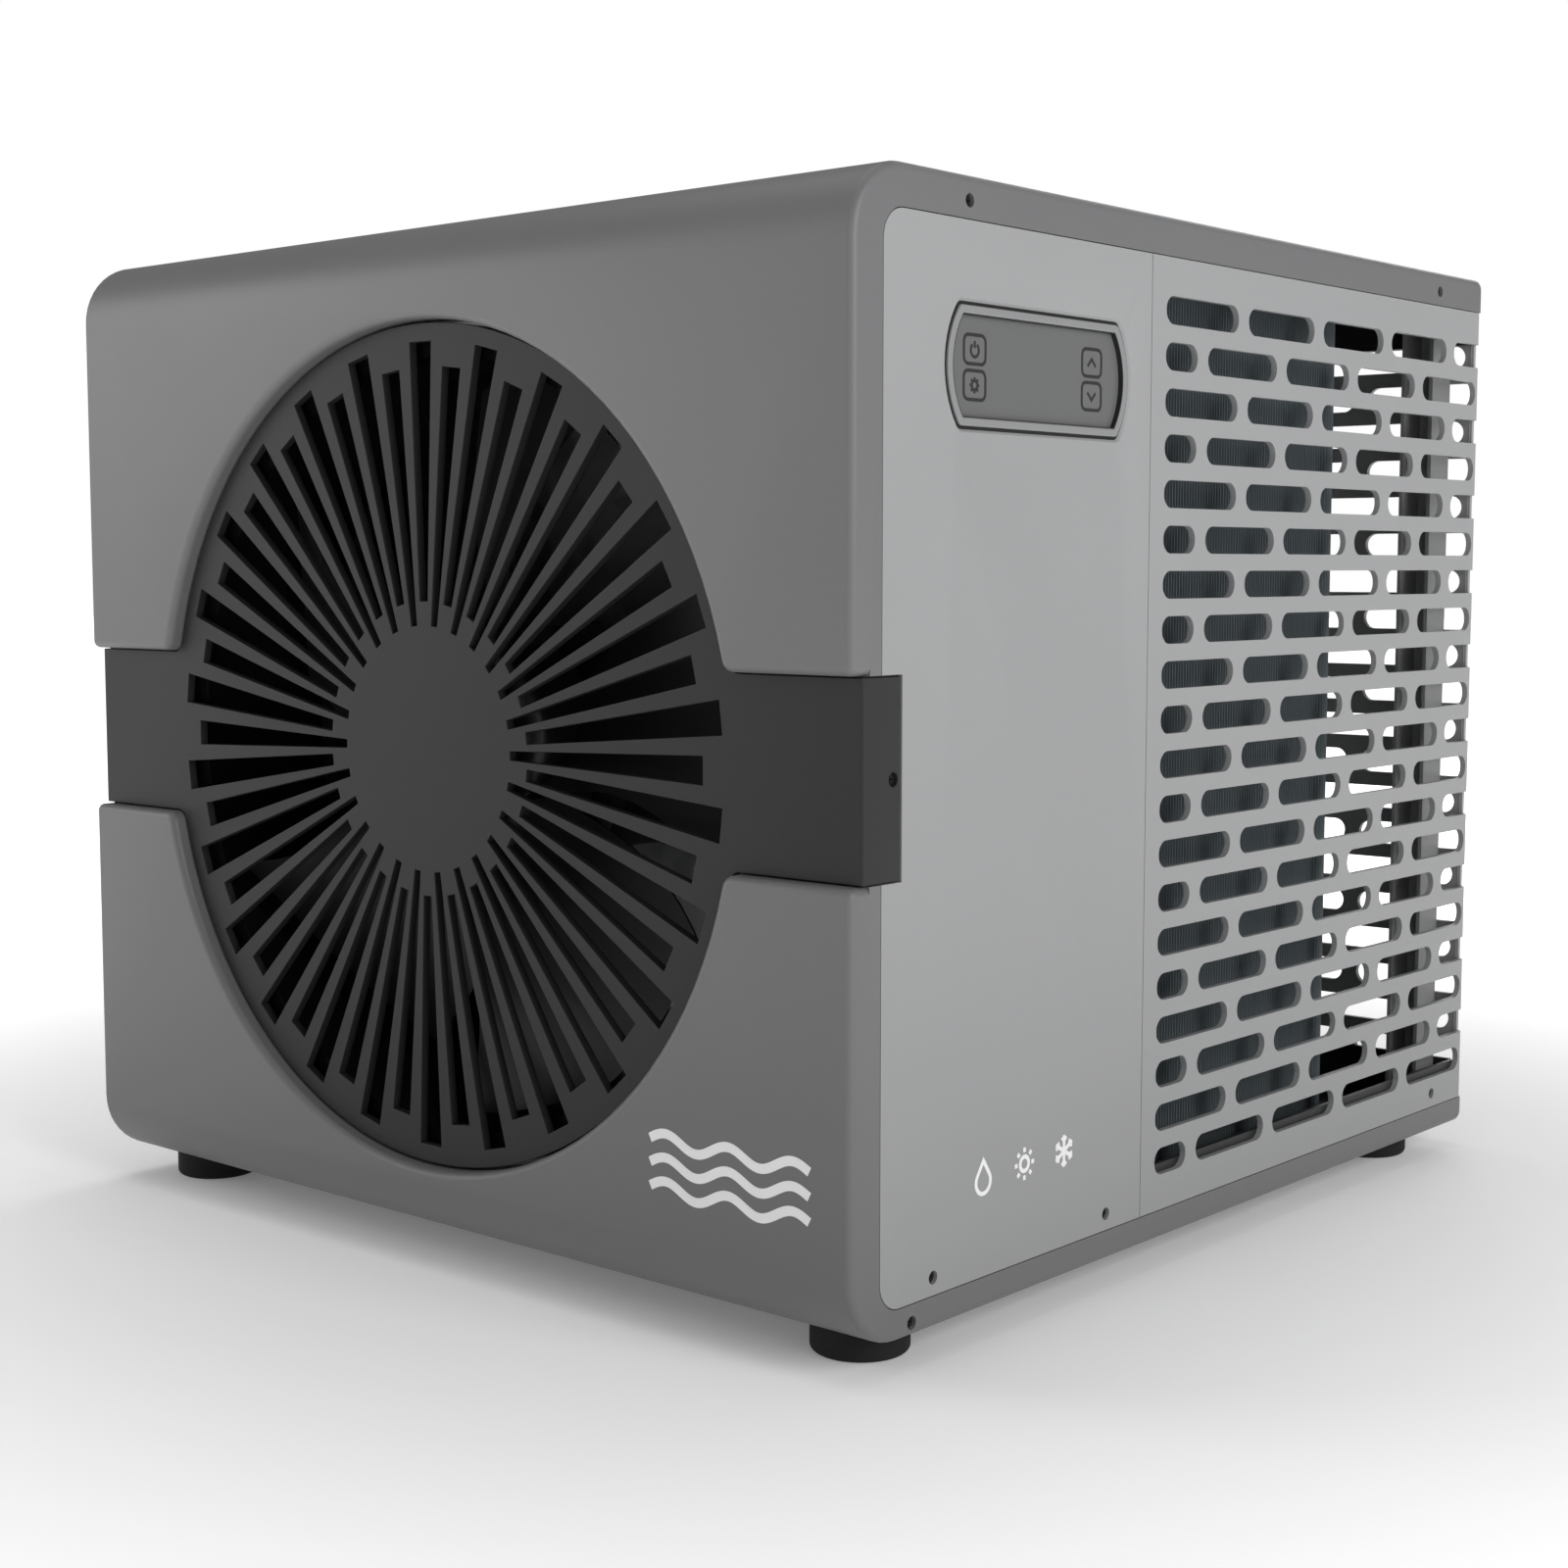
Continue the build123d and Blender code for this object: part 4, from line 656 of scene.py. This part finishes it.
# ---- The fan
# A moulded black axial fan: a cup hub with a domed nose and five broad, swept and twisted blades. It runs
# in a glossy shroud and is held on the motor's shaft by one nut.

fan_low, fan_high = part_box("fan_wheel")
FAN_Z = (fan_low.z + fan_high.z) / 2
FAN_MID_Y = front_y + 0.036
HUB_R = 0.034
TIP_R = (fan_high.z - fan_low.z) / 2 - 0.0005
BLADES = 5
RADIAL_STEPS = 10
CHORD_STEPS = 10
BLADE_THICK = 0.0022

fan_plastic = Finish("fan_plastic", (0.012, 0.012, 0.013), 0.33, Specular_IOR_Level=0.4)
fan_plastic.wear(0.2, 0.33, 30.0).grain(1500.0, 0.00004)


def blade_point(share, along, side):
    """A point of the blade: share runs from root to tip, along from the leading to the trailing edge."""
    radius = HUB_R - 0.002 + (TIP_R - HUB_R + 0.002) * share
    chord = 0.046 + 0.050 * share
    pitch = math.radians(38 - 15 * share)
    sweep = 0.012 * math.sin(math.pi * share) + 0.016 * share
    flat = (along - 0.5) * chord
    camber = 0.007 * (1 - (2 * along - 1) ** 2)
    thick = BLADE_THICK / 2 * (1 - 0.6 * abs(2 * along - 1)) * side
    turn = (flat * math.cos(pitch) + sweep) / radius
    depth = flat * math.sin(pitch) + (camber + thick) * math.cos(pitch) - 0.003
    return (radius * math.cos(turn), depth, radius * math.sin(turn))


def fan_points():
    """The points and faces of every blade and of the hub."""
    points, faces = [], []
    wide = CHORD_STEPS + 1
    for blade in range(BLADES):
        spin = 2 * math.pi * blade / BLADES
        start = len(points)
        for side in (1, -1):
            for i in range(RADIAL_STEPS + 1):
                for j in range(wide):
                    x, y, z = blade_point(i / RADIAL_STEPS, j / CHORD_STEPS, side)
                    c, s = math.cos(spin), math.sin(spin)
                    points.append((x * c - z * s, FAN_MID_Y + y, FAN_Z + x * s + z * c))
        back = (RADIAL_STEPS + 1) * wide
        rim = [(0, j) for j in range(wide)]
        rim += [(i, CHORD_STEPS) for i in range(1, RADIAL_STEPS + 1)]
        rim += [(RADIAL_STEPS, j) for j in range(CHORD_STEPS - 1, -1, -1)]
        rim += [(i, 0) for i in range(RADIAL_STEPS - 1, 0, -1)]
        for i in range(RADIAL_STEPS):
            for j in range(CHORD_STEPS):
                a = start + i * wide + j
                faces.append((a, a + 1, a + wide + 1, a + wide))
                faces.append((a + back, a + back + wide, a + back + wide + 1, a + back + 1))
        for (i, j), (k, m) in zip(rim, rim[1:] + rim[:1]):
            a, b = start + i * wide + j, start + k * wide + m
            faces.append((a, a + back, b + back, b))
    return points, faces


def lathe(profile, center, steps):
    """A closed turned shape about the fan's axis, from (radius, depth) pairs."""
    points, faces = [], []
    count = len(profile)
    for i in range(steps):
        angle = 2 * math.pi * i / steps
        for radius, depth in profile:
            x = center[0] + radius * math.cos(angle)
            points.append((x, front_y + depth, center[1] + radius * math.sin(angle)))
    for i in range(steps):
        one, two = i * count, (i + 1) % steps * count
        for j in range(count):
            k = (j + 1) % count
            faces.append((one + j, one + k, two + k, two + j))
    return points, faces


blade_points, blade_faces = fan_points()
HUB_PROFILE = [
    (0.0041, 0.0212), (0.0240, 0.0212), (0.0290, 0.0222), (0.0325, 0.0250), (0.0340, 0.0290),
    (0.0340, 0.0508), (0.0315, 0.0508), (0.0312, 0.0300), (0.0280, 0.0255), (0.0090, 0.0245),
    (0.0088, 0.0508), (0.0041, 0.0508),
]
hub_points, hub_faces = lathe(HUB_PROFILE, (0.0, FAN_Z), 48)
shift = len(blade_points)
RIBS = 6
RIB_HALF_T = 0.0008
RIB_DEPTHS = (0.0245, 0.0440)
RIB_REACHES = (0.0085, 0.0318)
rib_points, rib_faces = [], []
for i in range(RIBS):
    angle = math.radians(360 / RIBS * i + 30)
    way = Vector((math.cos(angle), math.sin(angle)))
    across = Vector((-way.y, way.x)) * RIB_HALF_T
    base = shift + len(hub_points) + len(rib_points)
    for depth in RIB_DEPTHS:
        for reach in RIB_REACHES:
            for side in (1, -1):
                flat = way * reach + across * side
                rib_points.append((flat.x, front_y + depth, FAN_Z + flat.y))
    rib_faces += [tuple(base + k for k in face) for face in (
        (0, 1, 3, 2), (4, 6, 7, 5), (0, 4, 5, 1), (2, 3, 7, 6), (0, 2, 6, 4), (1, 5, 7, 3))]
fan_faces = blade_faces + [tuple(shift + k for k in face) for face in hub_faces] + rib_faces
fan = new_mesh("fan_moulding", blade_points + hub_points + rib_points, fan_faces)
build = bmesh.new()
build.from_mesh(fan.data)
bmesh.ops.recalc_face_normals(build, faces=build.faces)
build.to_mesh(fan.data)
build.free()
fan.data.shade_smooth()
fan.data.set_sharp_from_angle(angle=math.radians(40))
fan.data.materials.append(fan_plastic.material)
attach(fan, "fan")
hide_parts("fan_wheel")

shroud_gloss = Finish("shroud_gloss", (0.006, 0.006, 0.0065), 0.18, Specular_IOR_Level=0.45)
shroud_gloss.wear(0.2, 0.18, 20.0)
dress(shroud_gloss, "fan_shroud")

# ---- The fan motor
# A small induction motor in a black-painted can, screwed to a galvanised upright by its four ears.

can_paint = Finish("can_paint", (0.016, 0.016, 0.017), 0.35)
can_paint.wear(0.15, 0.35, 40.0).grain(1200.0, 0.00005)
dress(can_paint, "motor_housing")
ground_steel = Finish("ground_steel", (0.40, 0.40, 0.41), 0.28, 1.0)
ground_steel.wear(0.15, 0.28, 120.0)
dress(ground_steel, "motor_rotor")
enamel_wire = Finish("enamel_wire", (0.30, 0.11, 0.04), 0.35, 0.4)
enamel_wire.wear(0.3, 0.35, 400.0).grain(1800.0, 0.0001)
dress(enamel_wire, "motor_stator")
zinc_plate = Finish("zinc_plate", (0.40, 0.40, 0.39), 0.34, 1.0)
zinc_plate.wear(0.2, 0.34, 200.0)
dress(zinc_plate, "fan_nut", "motor_screws", "foot_screws", "compressor_studs")

# ---- The sheet-metal frame
# Folded sheet: tray, top rails, upright, partition, posts and electrics box. Bare zinc has a faint crystal
# pattern. The tray and the top rails are painted black, and the rear posts are coated like the skins.


def galvanised(name, color, metallic):
    """Zinc-coated sheet with its crystals, drawn as cells of different lightness."""
    finish = Finish(name, color, 0.42, metallic)
    cells = finish.node("ShaderNodeTexVoronoi", {}, Vector=finish.place(), Scale=110.0)
    cell_tone = finish.node("ShaderNodeTexVoronoi", {}, Vector=finish.place(), Scale=110.0, out=1)
    darker = tuple(c * 0.78 for c in color)
    share = finish.node("ShaderNodeSeparateColor", {}, cell_tone)
    finish.put(finish.shader.inputs["Base Color"], finish.blend(share, darker, color))
    finish.put(finish.shader.inputs["Roughness"], share * 0.16 + 0.34)
    bump = finish.node("ShaderNodeBump", {}, Strength=0.4, Distance=0.00005, Height=cells)
    finish.put(finish.shader.inputs["Normal"], bump)
    return finish


sheet_zinc = galvanised("sheet_zinc", (0.24, 0.245, 0.25), 0.85)
dress(sheet_zinc, "motor_bracket", "coil_end_plates", "partition", "control_box", "control_cover")
rail_black = Finish("rail_black", (0.018, 0.018, 0.019), 0.45, Specular_IOR_Level=0.35)
rail_black.wear(0.15, 0.45, 30.0).grain(1400.0, 0.00008)
dress(rail_black, "base_tray", "top_frame")
dress(skin_coat, "rear_posts")

# ---- The evaporator
# Blue-coated aluminium fins, one every 1.7 mm, pressed on to twelve rows of copper tube. The block is bent
# round the rear corner between two steel end plates.

COIL_T = 0.025
COIL_OUT_R = 0.032
FIN_PITCH = 0.0017
FIN_T = 0.00018
TUBE_R = 0.00476
TUBE_PITCH = 0.0254
TUBE_ROWS = 12

coil_low, coil_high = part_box("coil_fins")
mid_x = coil_high.x - COIL_T / 2
mid_y = coil_high.y - COIL_T / 2
fin_blue = Finish("fin_blue", (0.200, 0.235, 0.250), 0.45, 0.1)
fin_blue.wear(0.25, 0.38, 18.0).grain(700.0, 0.00006)
copper_tube = Finish("copper_tube", (0.55, 0.22, 0.10), 0.32, 1.0)
copper_tube.wear(0.30, 0.32, 45.0)


def coil_path(level):
    """The block's middle line: a side leg, the corner and a rear leg."""
    inset = 0.0001
    return [(mid_x, coil_low.y + inset, level), (mid_x, mid_y, level), (coil_low.x + inset, mid_y, level)]


def bent_path(recipe):
    """The path's own curve with its corner rounded."""
    curve = recipe.node("GeometryNodeMeshToCurve", {}, Mesh=recipe.size("Geometry"))
    radius = recipe.size("corner_radius")
    return recipe.node("GeometryNodeFilletCurve", {"mode": "POLY"}, Curve=curve, Count=14, Radius=radius)


corner_radius = COIL_OUT_R - COIL_T / 2
fin_height = coil_high.z - coil_low.z
fin_sizes = {"pitch": FIN_PITCH, "thickness": FIN_T, "depth": COIL_T, "height": fin_height}
fins = Recipe("fin_stack", corner_radius=corner_radius, **fin_sizes)
spaced = fins.node(
    "GeometryNodeResampleCurve", {"mode": "LENGTH"}, Curve=bent_path(fins), Length=fins.size("pitch")
)
fin_size = fins.node(
    "ShaderNodeCombineXYZ", {}, X=fins.size("thickness"), Y=fins.size("depth"), Z=fins.size("height")
)
fin = fins.node("GeometryNodeMeshCube", {}, Size=fin_size)
along = fins.node("GeometryNodeInputTangent", {})
fin_turn = fins.node("FunctionNodeAlignRotationToVector", {"axis": "X", "pivot_axis": "Z"}, Vector=along)
stack = fins.node("GeometryNodeInstanceOnPoints", {}, Points=spaced, Instance=fin, Rotation=fin_turn)
fin_points = coil_path((coil_low.z + coil_high.z) / 2)
fin_stack = fins.grow("coil_fin_stack", fin_points, [(0, 1), (1, 2)], stack, fin_blue, "case", "fins")
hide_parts("coil_fins")

tube_sizes = {"tube_radius": TUBE_R, "rows": TUBE_ROWS, "row_pitch": TUBE_PITCH}
tubes = Recipe("coil_tubes", corner_radius=corner_radius, **tube_sizes)
ring = tubes.node("GeometryNodeCurvePrimitiveCircle", {}, Resolution=14, Radius=tubes.size("tube_radius"))
tube = tubes.node("GeometryNodeCurveToMesh", {}, Curve=bent_path(tubes), Profile_Curve=ring, Fill_Caps=True)
step_up = tubes.node("ShaderNodeCombineXYZ", {}, X=0.0, Y=0.0, Z=tubes.size("row_pitch"))
levels = tubes.node("GeometryNodeMeshLine", {}, Count=tubes.size("rows"), Offset=step_up)
rows = tubes.node("GeometryNodeInstanceOnPoints", {}, Points=levels, Instance=tube)
lowest = FAN_Z - TUBE_PITCH * (TUBE_ROWS - 1) / 2
tubes.grow("coil_tube_rows", coil_path(lowest), [(0, 1), (1, 2)], rows, copper_tube, "case", "copper")
dress(copper_tube, "coil_bends")

# ---- The refrigerant circuit
# A black-enamelled rotary compressor and accumulator, a brass four-way valve with its solenoid, and brazed
# copper pipes with a filter drier and a capillary.

enamel = Finish("enamel", (0.014, 0.014, 0.015), 0.22, Coat_Weight=0.3)
enamel.wear(0.15, 0.22, 20.0).grain(500.0, 0.00006)
dress(enamel, "compressor", "compressor_mounting_plate", "accumulator")
cap_plastic = Finish("cap_plastic", (0.016, 0.016, 0.017), 0.45)
cap_plastic.wear(0.1, 0.45).grain(1800.0, 0.00006)
dress(cap_plastic, "terminal_cover", "cable_gland", "drain_nozzle")
brass = Finish("brass", (0.55, 0.38, 0.14), 0.30, 1.0)
brass.wear(0.2, 0.30, 80.0)
dress(brass, "reversing_valve")
solenoid_blue = Finish("solenoid_blue", (0.02, 0.035, 0.11), 0.4)
solenoid_blue.wear(0.1, 0.4).grain(1500.0, 0.00005)
dress(solenoid_blue, "valve_coil")
pipe_copper = Finish("pipe_copper", (0.52, 0.21, 0.10), 0.34, 1.0)
pipe_copper.wear(0.35, 0.34, 60.0)
dress(pipe_copper, "discharge_line", "suction_line", "coil_gas_line", "hx_gas_line", "liquid_line")
dress(pipe_copper, "filter_drier", "capillary")
soft_rubber = Finish("soft_rubber", (0.013, 0.013, 0.014), 0.75, Specular_IOR_Level=0.25)
soft_rubber.wear(0.2, 0.75, 60.0).grain(900.0, 0.0001)
dress(soft_rubber, "compressor_grommets", "partition_grommets", "union_gaskets", "rubber_feet")

# ---- The water side
# The exchanger's grey plastic vessel holds a titanium coil. Its two stubs pass the rear skin, and each
# carries a hose tail under a ribbed black union nut.

vessel_plastic = Finish("vessel_plastic", (0.13, 0.135, 0.14), 0.4)
vessel_plastic.wear(0.06, 0.4).grain(900.0, 0.0001)
dress(vessel_plastic, "hx_body", "hx_lid")
titanium = Finish("titanium", (0.36, 0.35, 0.34), 0.36, 1.0)
titanium.wear(0.12, 0.36, 60.0)
dress(titanium, "hx_coil")
union_plastic = Finish("union_plastic", (0.022, 0.022, 0.024), 0.36)
union_plastic.wear(0.1, 0.36, 40.0).grain(1400.0, 0.00008)
for union in ("hose_tails", "inlet_union_nut", "outlet_union_nut"):
    softened(union, 0.0005, union_plastic)

# ---- The electrics
# A glass-fibre board with a relay and terminals in a steel box, the compressor's run capacitor, and the
# small board behind the keys.

board_green = Finish("board_green", (0.015, 0.10, 0.045), 0.35)
tracks = board_green.node("ShaderNodeTexBrick", {}, Vector=board_green.place(), Scale=90.0)
board_colour = board_green.blend(0.25, (0.015, 0.10, 0.045), tracks)
board_green.put(board_green.shader.inputs["Base Color"], board_colour)
board_green.grain(800.0, 0.00005)
dress(board_green, "control_board", "display_board")
can_white = Finish("can_white", (0.55, 0.55, 0.53), 0.4)
can_white.wear(0.04, 0.4, 50.0)
dress(can_white, "run_capacitor")
